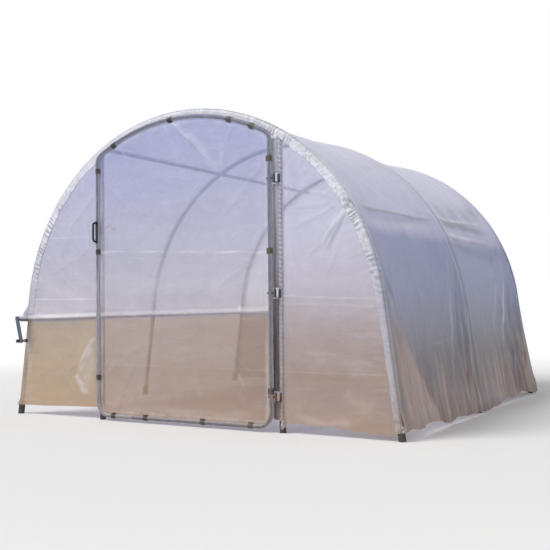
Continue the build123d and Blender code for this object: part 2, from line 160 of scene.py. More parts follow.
def node(tree, kind, inputs, output=0, **settings):
    made = tree.nodes.new("ShaderNode" + kind)
    for key, value in settings.items():
        setattr(made, key, value)
    for key, value in inputs.items():
        if isinstance(value, Shade):
            tree.links.new(value.socket, made.inputs[key])
        else:
            made.inputs[key].default_value = value
    return Shade(tree, made.outputs[output])


def apart(place, axes):
    return [node(place.tree, "SeparateXYZ", {0: place}, axis) for axis in axes]


def newMaterial(name):
    material = bpy.data.materials.new(name)
    material.use_nodes = True
    material.node_tree.nodes.clear()
    return material, node(material.node_tree, "TexCoord", {}, "Object")


def shownBy(shader, kind="Material"):
    shader.tree.links.new(shader.socket, shader.tree.nodes.new("ShaderNodeOutput" + kind).inputs[0])


def skinOf(tone, rough, relief, **others):
    return node(tone.tree, "BsdfPrincipled", {"Base Color": tone, "Roughness": rough, "Normal": relief, **others})


def seenRay(tree):
    # one for rays that the camera or a mirror sees, nought for rays that light the object
    rays = [node(tree, "LightPath", {}, f"Is {kind} Ray") for kind in ("Camera", "Glossy", "Transmission")]
    return rays[0].calc("MAXIMUM", rays[1]).calc("MAXIMUM", rays[2])


def tinted(colour, share):
    return tuple(min(part * share, 1) for part in colour)


studio = {"sky": 0.44, "skyColour": (0.97, 0.98, 1.0),
          "lamps": {"keyLamp": (2.0, 30, (0.45, 0.55, -0.74)),      # strength, spread in degrees, direction
                    "fillLamp": (0.15, 60, (-0.55, 0.7, -0.45))},
          "floor": (0.9, 0.895, 0.88), "fadeStart": 4.0, "fadeEnd": 8.0, "floorSize": 70}
world = bpy.data.worlds.new("studioWorld")
bpy.context.scene.world = world
world.use_nodes = True
world.node_tree.nodes.clear()
seen = seenRay(world.node_tree)
shownBy(node(world.node_tree, "Background", {"Color": seen.between(studio["skyColour"], (1, 1, 1)),
                                             "Strength": seen * (1 - studio["sky"]) + studio["sky"]}), "World")

floorMaterial, floorPlace = newMaterial("studioFloor")
floorTree = floorPlace.tree
floorShade = node(floorTree, "BsdfPrincipled",
                  {"Base Color": (*studio["floor"], 1), "Roughness": 0.9, "Specular IOR Level": 0.1})
floorWhite = node(floorTree, "Emission", {"Color": (1, 1, 1, 1), "Strength": 1.0})
floorDistance = node(floorTree, "VectorMath", {0: floorPlace}, "Value", operation="LENGTH")
floorFade = floorDistance.spread(studio["fadeStart"], studio["fadeEnd"]) * seenRay(floorTree)
shownBy(node(floorTree, "MixShader", {0: floorFade, 1: floorShade, 2: floorWhite}))
floorMesh = bpy.data.meshes.new("studioFloor")
reach = studio["floorSize"]
floorMesh.from_pydata([(-reach, -reach, 0), (reach, -reach, 0), (reach, reach, 0), (-reach, reach, 0)], [],
                      [(0, 1, 2, 3)])
floorMesh.materials.append(floorMaterial)
linked("studioFloor", floorMesh)
for name, (strength, spreadAngle, towards) in studio["lamps"].items():
    lampData = bpy.data.lights.new(name, "SUN")
    lampData.energy, lampData.angle = strength, math.radians(spreadAngle)
    linked(name, lampData).rotation_euler = Vector(towards).to_track_quat("-Z", "Y").to_euler()
print("camera, floor and light made")


# Surfaces on grids of two parameters
def smooth(value):
    # an S curve from nought at nought to one at one
    value = np.clip(value, 0, 1)
    return value * value * (3 - 2 * value)


def rise(value, start, run):
    # nought up to start, one from start and run on
    return smooth((value - start) / run)


def fall(value, end, run):
    # one down to a run before end, nought from end on
    return smooth((end - value) / run)


def bell(distance, width):
    # one in the middle, next to nothing at two widths
    return np.exp(-(distance / width) ** 2)


def grid(rows, columns):
    return np.meshgrid(rows, columns, indexing="ij")


def fullTurn(count):
    return np.linspace(0, 2 * math.pi, count, endpoint=False)


def softNoise(a, b, seed, sizeA, sizeB):
    # random heights on a coarse grid, joined by smooth steps in both directions
    cells = 128
    table = np.random.default_rng(seed).uniform(-1, 1, (cells, cells))
    gridA, gridB = a / sizeA + 40.3, b / sizeB + 37.7
    lowA, lowB = np.floor(gridA).astype(int), np.floor(gridB).astype(int)
    partA, partB = smooth(gridA - lowA), smooth(gridB - lowB)
    a0, a1, b0, b1 = lowA % cells, (lowA + 1) % cells, lowB % cells, (lowB + 1) % cells
    near = table[a0, b0] * (1 - partB) + table[a0, b1] * partB
    far = table[a1, b0] * (1 - partB) + table[a1, b1] * partB
    return near * (1 - partA) + far * partA


def lineNoise(a, seed, size):
    # the same in one direction
    return softNoise(a, a * 0, seed, size, 1)


def beside(a, b, line):
    # the length of a line from a0, b0 to a1, b1, then for each point the share of it passed and the way aside
    a0, b0, a1, b1 = line
    run = math.hypot(a1 - a0, b1 - b0)
    part = ((a - a0) * (a1 - a0) + (b - b0) * (b1 - b0)) / run ** 2
    return run, part, ((a - a0) * (b1 - b0) - (b - b0) * (a1 - a0)) / run


def foldField(a, b, folds):
    # each fold is a ridge along a line, rounded at its top, which fades at both ends of the line
    total = np.zeros_like(a)
    for *line, height, width in folds:
        part, aside = beside(a, b, line)[1:]
        aside = aside + 0.5 * width * softNoise(a, b, int(1000 * abs(height)) + 7, 0.12, 0.12)
        ends = smooth(np.minimum(part * 6, (1 - part) * 2.5) + 0.05)
        total += height * ends * np.exp(-np.sqrt((aside / width) ** 2 + 0.09) + 0.3)
    return total


def smearField(a, b, smears, seed):
    # each smear is a soft, broken streak along a line: a0, b0, a1, b1, strength, width
    total = np.zeros_like(a)
    for number, (*line, strength, width) in enumerate(smears):
        run, part, aside = beside(a, b, line)
        aside = aside + 0.6 * width * lineNoise(part, seed + number, 0.2)
        broken = 0.75 + 0.4 * softNoise(part * run, aside, seed + number + 40, 0.16, 2.5 * width)
        total += strength * smooth(np.minimum(part, 1 - part) * 5 + 0.2) * bell(aside, width) * broken
    return total


def bends(push, *steps):
    # ridges and hollows of a surface, from how fast its slope changes in both directions, for painted highlights and
    # painted shade
    sharpest = 45
    curve = sum(np.gradient(np.gradient(push, axis=axis) / step, axis=axis) / step
                for axis, step in enumerate(steps)) / sharpest
    return np.clip(-curve, 0, 1), np.clip(curve, 0, 1)


def gridPiece(name, points, body, film, surface, closedU=False, closedV=False, flip=False, **attributes):
    # points is an array of rows and columns; closed sides join the last row or column to the first
    # surface is each point's way in metres along the sheet in its two directions, kept as the UV map
    rows, columns = points.shape[:2]
    number = np.arange(rows * columns).reshape(rows, columns)
    if closedU:
        number = np.vstack([number, number[:1]])
    if closedV:
        number = np.hstack([number, number[:, :1]])
    quads = np.stack([number[:-1, :-1], number[1:, :-1], number[1:, 1:], number[:-1, 1:]], -1).reshape(-1, 4)
    if flip:
        quads = quads[:, ::-1]
    mesh = bpy.data.meshes.new(name)
    mesh.from_pydata(points.reshape(-1, 3), [], quads, shade_flat=False)
    ways = np.stack(np.broadcast_arrays(*surface), -1).reshape(-1, 2)[quads.reshape(-1)]
    mesh.uv_layers.new(name="surface").data.foreach_set("uv", ways.reshape(-1).astype(np.float32))
    for key, values in attributes.items():
        values = np.clip(np.broadcast_to(values, (rows, columns)), 0, 1).reshape(-1).astype(np.float32)
        mesh.attributes.new(key, "FLOAT", "POINT").data.foreach_set("value", values)
    mesh.validate()
    mesh.materials.append(films[film])
    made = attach(linked(name, mesh), body)
    return made


def archAt(q):
    # q is the way along the hoop from the crown, to the right where positive: an arc, then a straight leg
    side = np.sign(q) + (q == 0)
    turn = np.minimum(np.abs(q), arcHalf) / hoopRadius
    leg = np.maximum(np.abs(q) - arcHalf, 0)
    x = side * (hoopRadius * np.sin(turn) + leg * math.sin(legSlant))
    z = arcCentre + hoopRadius * np.cos(turn) - leg * math.cos(legSlant)
    return x, z, side * np.sin(turn), np.cos(turn)


def archPoint(q, y, out):
    x, z, acrossX, acrossZ = archAt(q)
    return np.stack([x + acrossX * out, y + 0 * q, z + acrossZ * out], -1)


def archReach(z, out):
    # half width of the arch at a height, with the hoop's line moved out
    radius = hoopRadius + out
    spring = arcCentre + radius * math.sin(legSlant)
    onArc = np.sqrt(np.maximum(radius ** 2 - (z - arcCentre) ** 2, 0))
    onLeg = radius * math.cos(legSlant) + (spring - z) * math.tan(legSlant)
    return np.where(z > spring, onArc, onLeg)


def nearHoop(y):
    # share of a bay passed since the last hoop, nought outside the end hoops
    inside = np.clip(y + halfLength, 0, 2 * halfLength - 1e-9)
    return (inside % halfLength) / halfLength


# Film finishes. tones: height above the ground, red, green and blue. solids: height and how much hides what is
# behind. streaks: fineness of the streak noise along x, y and z. wander: how far the heights stray
filmLooks = {
    "coverFilm": {
        # the cover darkens down the walls: partly painted shade, partly the dark inside seen through the film
        "tones": [(0.06, 0.27, 0.18, 0.15), (0.28, 0.225, 0.155, 0.14), (0.5, 0.205, 0.19, 0.2),
            (0.78, 0.285, 0.29, 0.37), (1.02, 0.3, 0.33, 0.51), (1.45, 0.345, 0.375, 0.62), (1.51, 0.56, 0.565, 0.81),
            (1.7, 0.74, 0.74, 0.97), (2.4, 0.84, 0.84, 1.0)],
        "solids": [(0.1, 0.97), (1.2, 0.955), (2.4, 0.94)],
        "streaks": (9, 9, 0.9), "streakTop": 1.25, "streakLight": 0.1, "glow": 0.24, "wander": 0.1},
    "sidePanelFilm": {
        # the dark band at about 0.80 to 0.83 m and the pale band at 0.84 to 0.86 m paint the roll's shaded underside
        # and lit top onto this film
        "tones": [(0.08, 0.51, 0.345, 0.2), (0.5, 0.475, 0.335, 0.2), (0.796, 0.43, 0.325, 0.23),
            (0.804, 0.27, 0.235, 0.26), (0.826, 0.27, 0.235, 0.26), (0.84, 0.95, 0.9, 0.94), (0.855, 0.95, 0.9, 0.94),
            (0.868, 0.83, 0.785, 0.82), (1.05, 0.8, 0.765, 0.82), (1.5, 0.69, 0.68, 0.83), (2.2, 0.6, 0.63, 0.86)],
        "solids": [(0.05, 0.9), (0.8, 0.88), (0.83, 0.86), (0.856, 0.88), (0.868, 0.52), (1.05, 0.58), (2.2, 0.56)],
        "streaks": (2.5, 7, 11), "streakLight": 0.08, "glow": 0.26, "wander": 0.012, "slope": 0.023},
    "panelFilm": {
        "tones": [(0.06, 0.5, 0.345, 0.25), (0.35, 0.47, 0.345, 0.28), (0.7, 0.52, 0.43, 0.41),
            (1.05, 0.63, 0.58, 0.66), (1.5, 0.68, 0.67, 0.84), (2.2, 0.7, 0.72, 0.92)],
        "solids": [(0.05, 0.86), (0.6, 0.78), (1.1, 0.6), (1.6, 0.5), (2.2, 0.5)],
        "streaks": (2.2, 6, 10), "streakLight": 0.08, "glow": 0.26, "wander": 0.4},
    "doorFilmFinish": {
        # the dark band at about 0.80 to 0.83 m and the pale band at 0.84 to 0.86 m paint the roll's shaded underside
        # and lit top onto this film
        "tones": [(0.06, 0.47, 0.32, 0.225), (0.4, 0.39, 0.275, 0.215), (0.796, 0.4, 0.3, 0.245),
            (0.804, 0.34, 0.285, 0.3), (0.826, 0.33, 0.28, 0.3), (0.842, 0.87, 0.81, 0.85), (0.858, 0.87, 0.81, 0.85),
            (0.875, 0.77, 0.72, 0.76), (1.1, 0.75, 0.725, 0.79), (1.5, 0.61, 0.61, 0.76), (2.2, 0.4, 0.455, 0.74)],
        "solids": [(0.05, 0.86), (0.8, 0.86), (0.83, 0.8), (0.856, 0.72), (0.875, 0.5), (1.1, 0.58), (2.2, 0.62)],
        "streaks": (2.5, 7, 11), "streakLight": 0.08, "glow": 0.26, "wander": 0.012, "slope": 0.023},
    "bandFilm": {
        "tones": [(0.06, 0.46, 0.37, 0.31), (0.3, 0.56, 0.53, 0.56), (1.0, 0.64, 0.63, 0.73), (1.6, 0.9, 0.91, 0.97),
            (2.4, 0.95, 0.96, 1.0)],
        "solids": [(0.05, 0.92), (2.4, 0.9)],
        "streaks": (14, 14, 14), "streakLight": 0.25, "wander": 0.12},
    "rearBandFilm": {
        "tones": [(0.06, 0.46, 0.37, 0.31), (0.3, 0.56, 0.53, 0.56), (1.0, 0.68, 0.67, 0.79), (2.4, 0.9, 0.91, 1.0)],
        "solids": [(0.05, 0.6), (1.0, 0.3), (2.4, 0.16)],
        "streaks": (14, 14, 14), "streakLight": 0.2, "glow": 0.55, "wander": 0.12},
    "rollFilmFinish": {
        "tones": [(0.1, 0.36, 0.37, 0.52), (2.4, 0.4, 0.41, 0.56)],
        "solids": [(0.1, 0.97), (2.4, 0.97)],
        "streaks": (30, 2.0, 30), "streakLight": 0.3, "glow": 0.12, "wander": 0.2, "creaseShare": 1.0,
        "hollowShare": 0.9},
    "wrapFilm": {
        "tones": [(0.05, 0.46, 0.37, 0.32), (0.7, 0.54, 0.51, 0.55), (2.4, 0.62, 0.63, 0.76)],
        "solids": [(0.1, 0.8), (2.4, 0.74)],
        "streaks": (30, 30, 12), "streakLight": 0.25, "wander": 0.2},
    "gatherFilm": {
        "tones": [(0.05, 0.34, 0.25, 0.19), (0.35, 0.15, 0.115, 0.095), (0.9, 0.16, 0.13, 0.125),
            (1.25, 0.4, 0.36, 0.4), (1.7, 0.66, 0.62, 0.68), (2.4, 0.74, 0.71, 0.8)],
        "solids": [(0.1, 0.95), (1.0, 0.92), (2.4, 0.8)],
        "streaks": (30, 30, 3), "streakLight": 0.22, "wander": 0.25},
    "sleeveFilm": {
        "tones": [(0.05, 0.6, 0.5, 0.42), (0.8, 0.66, 0.62, 0.7), (2.4, 0.62, 0.63, 0.82)],
        "solids": [(0.1, 0.26), (2.4, 0.22)],
        "streaks": (30, 30, 9), "streakLight": 0.3, "wander": 0.2},
}
# light and deep are the colours of painted highlights and painted shade; dust is the colour of dust splashed up
filmWearAndShading = {"light": (0.92, 0.92, 0.96), "deep": (0.17, 0.175, 0.235), "dust": (0.57, 0.43, 0.365),
            "clear": (0.92, 0.91, 0.94), "creaseShare": 0.62, "hollowShare": 0.55, "dustShare": 0.8,
            "patchShare": 0.126,
            "streakTop": 3.0,      # the streaks end this high
            "glow": 0.2,           # light let through from the far side
            "slope": 0.0}          # how fast the tones rise across the tunnel, from slopeStart on
rampReach, slopeStart = 2.5, -1.83


def filmMaterial(name):
    look = {**filmWearAndShading, **filmLooks[name]}
    material, place = newMaterial(name)
    tree = place.tree
    across, height = apart(place, "XZ")
    # the first attribute lightens the film with fold lines and painted highlights, the second darkens it with painted
    # shade and dark lines, the third tints it with dust
    crease, hollow, dust = (node(tree, "Attribute", {}, "Fac", attribute_name=key)
                            for key in ("crease", "hollow", "dust"))
    cloud = place.grain(1.3, 5, 0.6, 0.4)
    patch = place.grain(5.5, 5, 0.6, 0.8)
    speck = place.grain(38, 4, 0.65)
    streak = node(tree, "Mapping", {"Vector": place, "Scale": look["streaks"]}).grain(1.0, 5, 0.62, 0.25)
    # the colour's height wanders with clouds and streaks, so that the low colours, dust and painted shade, have a
    # ragged edge
    ragged = height.spread(0.9, 1.35, 1.0, 0.0)
    wander = (streak - 0.5) * ragged * 0.7 + cloud - 0.5
    wandering = height - (across - slopeStart) * look["slope"] + wander * look["wander"]
    tone = wandering.ramp(rampReach, look["tones"])
    tone = patch.spread(0.35, 0.75, 0.0, look["patchShare"]).between(tone, look["deep"])
    streaked = height.spread(look["streakTop"], look["streakTop"] - 0.6)     # one below, nought above
    tone = (streak.spread(0.52, 0.72, 0.0, look["streakLight"]) * streaked).between(tone, look["light"])
    # dust, then painted shade, then painted highlights are laid over the tone
    for wearAndShading, share, colour in ((dust, "dustShare", "dust"), (hollow, "hollowShare", "deep"),
                                (crease, "creaseShare", "light")):
        tone = (wearAndShading * look[share]).between(tone, look[colour])
    # how much of the film's own colour shows instead of what is behind it
    solid = wandering.ramp(rampReach, look["solids"]) + (cloud - 0.5) * 0.16 + (streak - 0.5) * streaked * 0.16
    solid = (solid + (speck - 0.5) * 0.06 + hollow * 0.2 + crease * 0.36).clamped()
    crinkle = (place.grain(7, 5, 0.6, 1.4) - 0.5).calc("ABSOLUTE")
    relief = (crinkle * 1.8 + speck * 0.1 + streak * streaked * 0.45 + crease * 0.2).bump(0.45, 0.014)
    gloss = (speck * 0.2 + (cloud - 0.5) * 0.25 + 0.24).clamped()
    glow = node(tree, "BsdfTranslucent", {"Color": tone, "Normal": relief})
    body = node(tree, "MixShader", {0: look["glow"], 1: skinOf(tone, gloss, relief), 2: glow})
    clear = node(tree, "BsdfTransparent", {"Color": (*look["clear"], 1)})
    shownBy(node(tree, "MixShader", {0: solid, 1: clear, 2: body}))
    return material


films = {name: filmMaterial(name) for name in filmLooks}
print("film finishes made")


# Cover: one sheet over the hoops
coverSheet = {
    # how far the film hangs below its line over the hoops in the middle of a bay: q, depth
    "sags": [(-2.2, 0.034), (-1.4, 0.05), (-0.8, 0.048), (0, 0.026), (0.8, 0.036), (1.7, 0.056), (2.5, 0.04),
             (3.0, 0.02), (3.4, 0.004)],
    "rails": [math.radians(-28.0) * hoopRadius, math.radians(58.3) * hoopRadius],
    "railDepth": 0.0392,         # as deep as the film can go over the lengthways rails
    "lastQ": 3.42,               # end of the sheet along the hoop
    "closeColumns": 0.03,        # beside a hoop
    "gather": 0.024, "wrinkle": 0.003, "fineWrinkle": 0.0012, "hemWave": 0.011, "hemKick": 0.03, "overCups": 0.0095,
    "tensionFolds": 16, "pulls": 12, "hemGathers": 7,       # how many in a bay, in a bay, and at a hoop
    "hemHeights": [(-1.77, 0.062), (-1.66, 0.07), (-1.46, 0.05), (-1.25, 0.066), (-1.04, 0.046), (-0.81, 0.016),
        (-0.6, 0.04), (-0.42, 0.02), (-0.2, 0.012), (-0.05, 0.006), (0.06, 0.006), (0.35, 0.006), (0.51, 0.016),
        (0.81, 0.046), (1.05, 0.03), (1.17, 0.062), (1.47, 0.036), (1.68, 0.006), (1.77, 0.004)],
    # folds, pale smears that are painted highlights along folds and gathers, and dark smears of painted shade: from q
    # and y to q and y, height or strength, width
    "folds": [(1.7, -1.7, 1.69, -0.08, 0.006, 0.016), (1.85, -1.65, 1.785, -0.2, 0.007, 0.03),
        (1.665, 0.06, 1.63, 1.55, 0.007, 0.016), (1.835, 0.04, 1.835, 1.45, 0.008, 0.018),
        (1.76, 0.1, 1.745, 1.2, 0.005, 0.03)],
    "smears": [(1.693, -1.66, 1.683, -0.1, 0.8, 0.012), (1.85, -1.62, 1.785, -0.2, 0.6, 0.034),
        (1.665, 0.05, 1.63, 0.95, 1.4, 0.015), (1.63, 0.8, 1.625, 1.45, 0.6, 0.018),
        (1.835, 0.03, 1.832, 0.85, 1.3, 0.02), (1.832, 0.7, 1.845, 1.35, 0.6, 0.026),
        (1.76, 0.1, 1.75, 1.2, 0.25, 0.03), (1.56, 0.3, 1.5, 1.3, 0.25, 0.03), (2.33, -0.26, 2.95, -0.47, 0.45, 0.022),
        (2.5, 0.03, 3.0, -0.02, 0.6, 0.012), (2.25, 1.44, 2.9, 1.04, 0.75, 0.018),
        (2.25, 1.22, 2.78, 0.82, 0.25, 0.028), (2.2, -1.72, 2.66, -1.62, 0.4, 0.024),
        (2.62, -0.16, 3.1, -0.24, 0.35, 0.012)],
    "shades": [(1.718, -1.66, 1.708, -0.08, 1.1, 0.012), (1.765, -1.62, 1.74, -0.1, 0.4, 0.03),
        (1.694, 0.05, 1.66, 0.95, 1.1, 0.014), (1.66, 0.8, 1.655, 1.5, 0.6, 0.016),
        (1.745, 0.06, 1.725, 1.5, 1.15, 0.045), (1.965, 0.04, 1.985, 1.66, 0.75, 0.075),
        (1.868, 0.03, 1.866, 1.45, 0.95, 0.016), (2.1, -0.08, 3.12, -0.36, 1.3, 0.018),
        (2.38, 0.0, 3.15, -0.1, 1.0, 0.012), (2.35, 0.06, 3.25, 0.1, 0.9, 0.014), (2.12, 1.68, 3.18, 1.16, 1.4, 0.02),
        (2.4, 1.22, 3.15, 0.74, 0.5, 0.036), (2.6, -1.34, 3.25, -0.98, 0.4, 0.085),
        (2.5, -1.725, 3.42, -1.715, 0.6, 0.018), (2.95, -0.62, 3.35, -0.66, 0.55, 0.022),
        (2.8, 0.3, 3.4, 0.34, 0.3, 0.024), (3.05, 1.35, 3.42, 1.3, 0.4, 0.04), (3.12, -1.1, 3.34, 1.2, 0.55, 0.11),
        (1.62, 0.15, 1.5, 1.72, 0.7, 0.12)],
    # dust splashed up from the ground
    "dust": [(3.22, -1.7, 3.42, -0.2, 0.2, 0.06), (3.3, -0.2, 3.42, 1.7, 0.3, 0.05),
        (2.92, -0.74, 3.42, -0.8, 0.8, 0.018), (2.9, -0.5, 3.2, -0.56, 0.65, 0.014),
        (2.82, -0.1, 3.3, -0.16, 0.8, 0.014), (2.8, 0.02, 3.35, 0.09, 0.6, 0.016), (3.0, 0.66, 3.42, 0.56, 0.55, 0.03),
        (2.72, 1.52, 3.4, 1.44, 0.85, 0.032), (2.95, 0.92, 3.4, 0.78, 0.5, 0.022), (3.12, -1.2, 3.3, 1.2, 0.3, 0.1)],
    "dustEdge": (2.44, -1.57, 0.64),      # dusty wedge behind the front hoop: q and y of a point on its edge, slope
}
leftEdge = -(arcHalf + (springHeight - rollZ) / math.cos(legSlant))


def coverOut(q, y):
    # how far the film stands from the hoop's centreline: a belly between the hoops, held up by the rails
    belly = 1 - np.abs(2 * nearHoop(y) - 1) ** 2.4
    sag = np.interp(q, *np.transpose([(leftEdge, 0.004), *coverSheet["sags"]])) * belly
    for rail in coverSheet["rails"]:
        limit = coverSheet["railDepth"] + 0.085 * np.maximum(np.abs(q - rail) - 0.012, 0)
        sag = np.where(sag > limit, limit + 0.12 * (sag - limit), sag)
    # the left edge runs out over the roll
    overRoll = abs(rollX) - np.abs(archAt(np.array(leftEdge))[0]) + (rollHigh.x - rollLow.x) / 2 + 0.001
    return tunnel["filmRide"] - sag + fall(q, leftEdge + 0.125, 0.115) * (overRoll - tunnel["filmRide"])


coverFolds = list(coverSheet["folds"])
foldSeed = np.random.default_rng(11)
for start in (-halfLength, 0):
    for i in range(coverSheet["tensionFolds"]):      # long tension folds that run from the hoops down to the ground
        fromFront = i % 2 == 0
        lean = foldSeed.uniform(0.12, 0.75)
        high = foldSeed.uniform(0.7, 2.4)
        low = high + foldSeed.uniform(0.6, 1.3)
        y0 = start + (0.03 if fromFront else halfLength - 0.03)
        y1 = y0 + (lean if fromFront else -lean)
        coverFolds.append((high, y0, min(low, 3.4), y1, foldSeed.uniform(0.002, 0.005), foldSeed.uniform(0.016, 0.034)))
    for i in range(coverSheet["pulls"]):      # short pulls off the hoops over the crown
        high = foldSeed.uniform(-2.2, 0.9)
        y0 = start + (0.02 if i % 2 else halfLength - 0.02)
        y1 = y0 + (1 if i % 2 else -1) * foldSeed.uniform(0.15, 0.45)
        coverFolds.append((high, y0, high + foldSeed.uniform(-0.15, 0.25), y1, 0.0035, 0.022))
for hoop, low, high in ((-halfLength, 0.02, 0.45), (0.0, -0.42, 0.22), (halfLength, -0.8, -0.02)):
    for i in range(coverSheet["hemGathers"]):       # gathers that fan out from each hoop to the hem
        yHem = hoop + low + (high - low) * (i + foldSeed.uniform(0.1, 0.9)) / coverSheet["hemGathers"]
        yTop = hoop + 0.1 * (yHem - hoop) + 0.02 * np.sign(yHem - hoop)
        coverFolds.append((foldSeed.uniform(2.0, 2.6), yTop, foldSeed.uniform(4.2, 4.8), yHem + 0.4 * (yHem - hoop),
                           foldSeed.uniform(0.01, 0.021), foldSeed.uniform(0.018, 0.032)))

qRows = np.concatenate([np.linspace(leftEdge, -arcHalf, 20, endpoint=False), np.linspace(-arcHalf, arcHalf, 280),
                        np.linspace(arcHalf, coverSheet["lastQ"], 81)[1:]])
close = coverSheet["closeColumns"]
stops = [-coverEnd, close - halfLength, -close, close, halfLength - close]
yColumns = np.concatenate([*(np.linspace(start, stop, count, endpoint=False)
                             for start, stop, count in zip(stops, stops[1:], (8, 96, 7, 96))),
                           np.linspace(stops[-1], coverEnd, 8)])
q, y = grid(qRows, yColumns)
hemZ = np.interp(y, *np.transpose(coverSheet["hemHeights"])) + coverSheet["hemWave"] * lineNoise(y, 5, 0.065)
legLength = (springHeight - hemZ) / math.cos(legSlant)
legShare = np.maximum(q - arcHalf, 0) / (coverSheet["lastQ"] - arcHalf)
qShown = np.where(q > arcHalf, arcHalf + legShare * legLength, q)
share = nearHoop(y)
free = smooth(np.minimum(share, 1 - share) * 12)
wrinkles = foldField(qShown, y, coverFolds) + coverSheet["wrinkle"] * softNoise(qShown, y, 3, 0.35, 0.28) \
    + coverSheet["fineWrinkle"] * softNoise(qShown, y, 4, 0.09, 0.07)
out = coverOut(qShown, y) + free * wrinkles
# gathers that start on the wall and deepen to the hem, strongest beside the middle and rear hoops
gather = 0.22 + 1.25 * bell(y + 0.08, 0.26) + 1.25 * bell(y - 1.4, 0.3) + 0.3 * bell(y + 0.95, 0.35)
crest = (1 - np.abs(softNoise(y + 0.03 * qShown, qShown, 8, 0.115, 1.7))) ** 2
smallCrest = (1 - np.abs(softNoise(y - 0.02 * qShown, qShown, 9, 0.048, 0.9))) ** 3
gathers = rise(qShown, 2.25, 1.0) * gather * coverSheet["gather"] * (crest + 0.25 * smallCrest - 0.5)
out += gathers * (0.25 + 0.75 * free)
# the film stands over the foot cups, and its hem kicks out towards the rear
for hoop in (-halfLength, 0.0, halfLength):
    out += rise(qShown, 3.22, 0.08) * coverSheet["overCups"] * bell(y - hoop, 0.075)
out += rise(qShown, 2.5, 0.9) * coverSheet["hemKick"] * rise(y, 0.6, 1.1) + 0.01 * rise(qShown, 3.1, 0.3)
coverPoints = archPoint(qShown, y, out)
ridge, hollow = bends(free * wrinkles + gathers, np.gradient(qShown, axis=0), np.gradient(yColumns)[None, :])
# a crinkled crease across the wall in two places: a pale line with painted shade just below it
crinkled = (bell(y + 0.85, 0.3) + bell(y - 0.95, 0.28)) * (0.5 + 0.8 * lineNoise(y, 2, 0.07)) \
    * (coverPoints[..., 0] > 1)
fromCrease = coverPoints[..., 2] - 0.655 - 0.035 * y - 0.01 * lineNoise(y, 6, 0.045)
# the cover is made paler and more solid towards the roll
paleRollSide = fall(q, -1.25, 0.55)      # the side that is drawn up to the roll
# pale crease lines, painted highlights on ridges and along folds, and a painted highlight just in front of the middle
# hoop where the film lies over it
coverCreaseAndHighlight = 0.22 * crinkled * bell(fromCrease, 0.008) + 0.9 * paleRollSide + 0.12 * ridge \
    + smearField(qShown, y, coverSheet["smears"], 300) + 0.55 * bell(y + 0.036, 0.012) * (q < 2.4)
# painted shade in a line just behind the middle hoop
shadeBehindHoop = 2.2 * bell(y - 0.04, 0.03) * rise(q, 0.5, 0.6) * (0.8 + 0.3 * softNoise(q, y, 16, 0.3, 1))
# painted shade in hollows, along the dark smears, behind the hoop and under the crinkled crease, with random dark
# streaks low on the wall
coverShade = 0.55 * hollow + smearField(qShown, y, coverSheet["shades"], 400) + shadeBehindHoop \
    + 0.45 * crinkled * bell(fromCrease + 0.016, 0.009) \
    + rise(qShown, 2.6, 0.5) * np.maximum(softNoise(y + 0.05 * qShown, qShown, 18, 0.045, 0.9), 0)
edgeQ, edgeY, edgeSlope = coverSheet["dustEdge"]
edgeNoise = 0.03 * softNoise(qShown, y, 14, 0.15, 0.1)
wedge = fall(y, edgeY + edgeSlope * (qShown - edgeQ) + edgeNoise, 0.07) * rise(qShown, 2.35, 0.65)
coverDust = wedge * (0.85 + 0.35 * softNoise(y - 0.25 * qShown, qShown, 15, 0.035, 0.6)) \
    + smearField(qShown, y, coverSheet["dust"], 500) \
    + 0.9 * rise(qShown, 2.75, 0.45) * np.maximum(softNoise(y + 0.05 * qShown, qShown, 17, 0.03, 0.8), 0)
cover = gridPiece("filmCover", coverPoints, "tunnel", "coverFilm", (qShown, y), flip=True,
                  crease=coverCreaseAndHighlight, hollow=coverShade, dust=coverDust)
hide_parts("left_haunch_film", "left_crown_film", "right_crown_film", "right_haunch_film", "right_wall_film")
print("cover made", len(cover.data.polygons))


# Folded margins of the cover over the end hoops
bandShape = {"columns": 1500, "rows": 22, "width": 0.0495, "narrowing": 0.02, "wrap": 0.024,
             "radius": 0.0222, "flatBack": 0.0238, "footRadius": 0.0288, "cupTop": 0.125, "footEnd": 0.058,
             "pleat": 0.006, "smallPleat": 0.002, "crumple": 0.0017, "pitch": 0.038, "smallPitch": 0.0135,
             "mapped": 0.15,
             "topPart": 0.22, "bendPart": 0.42,      # shares of the width on the cover, and up to the end of the bend
             # more or less ruffled along the hoop: q, amount, reach
             "ruffles": [(-1.75, 0.8, 0.55), (0.98, 1.0, 0.28), (1.62, 0.9, 0.22), (1.98, 0.8, 0.3)]}


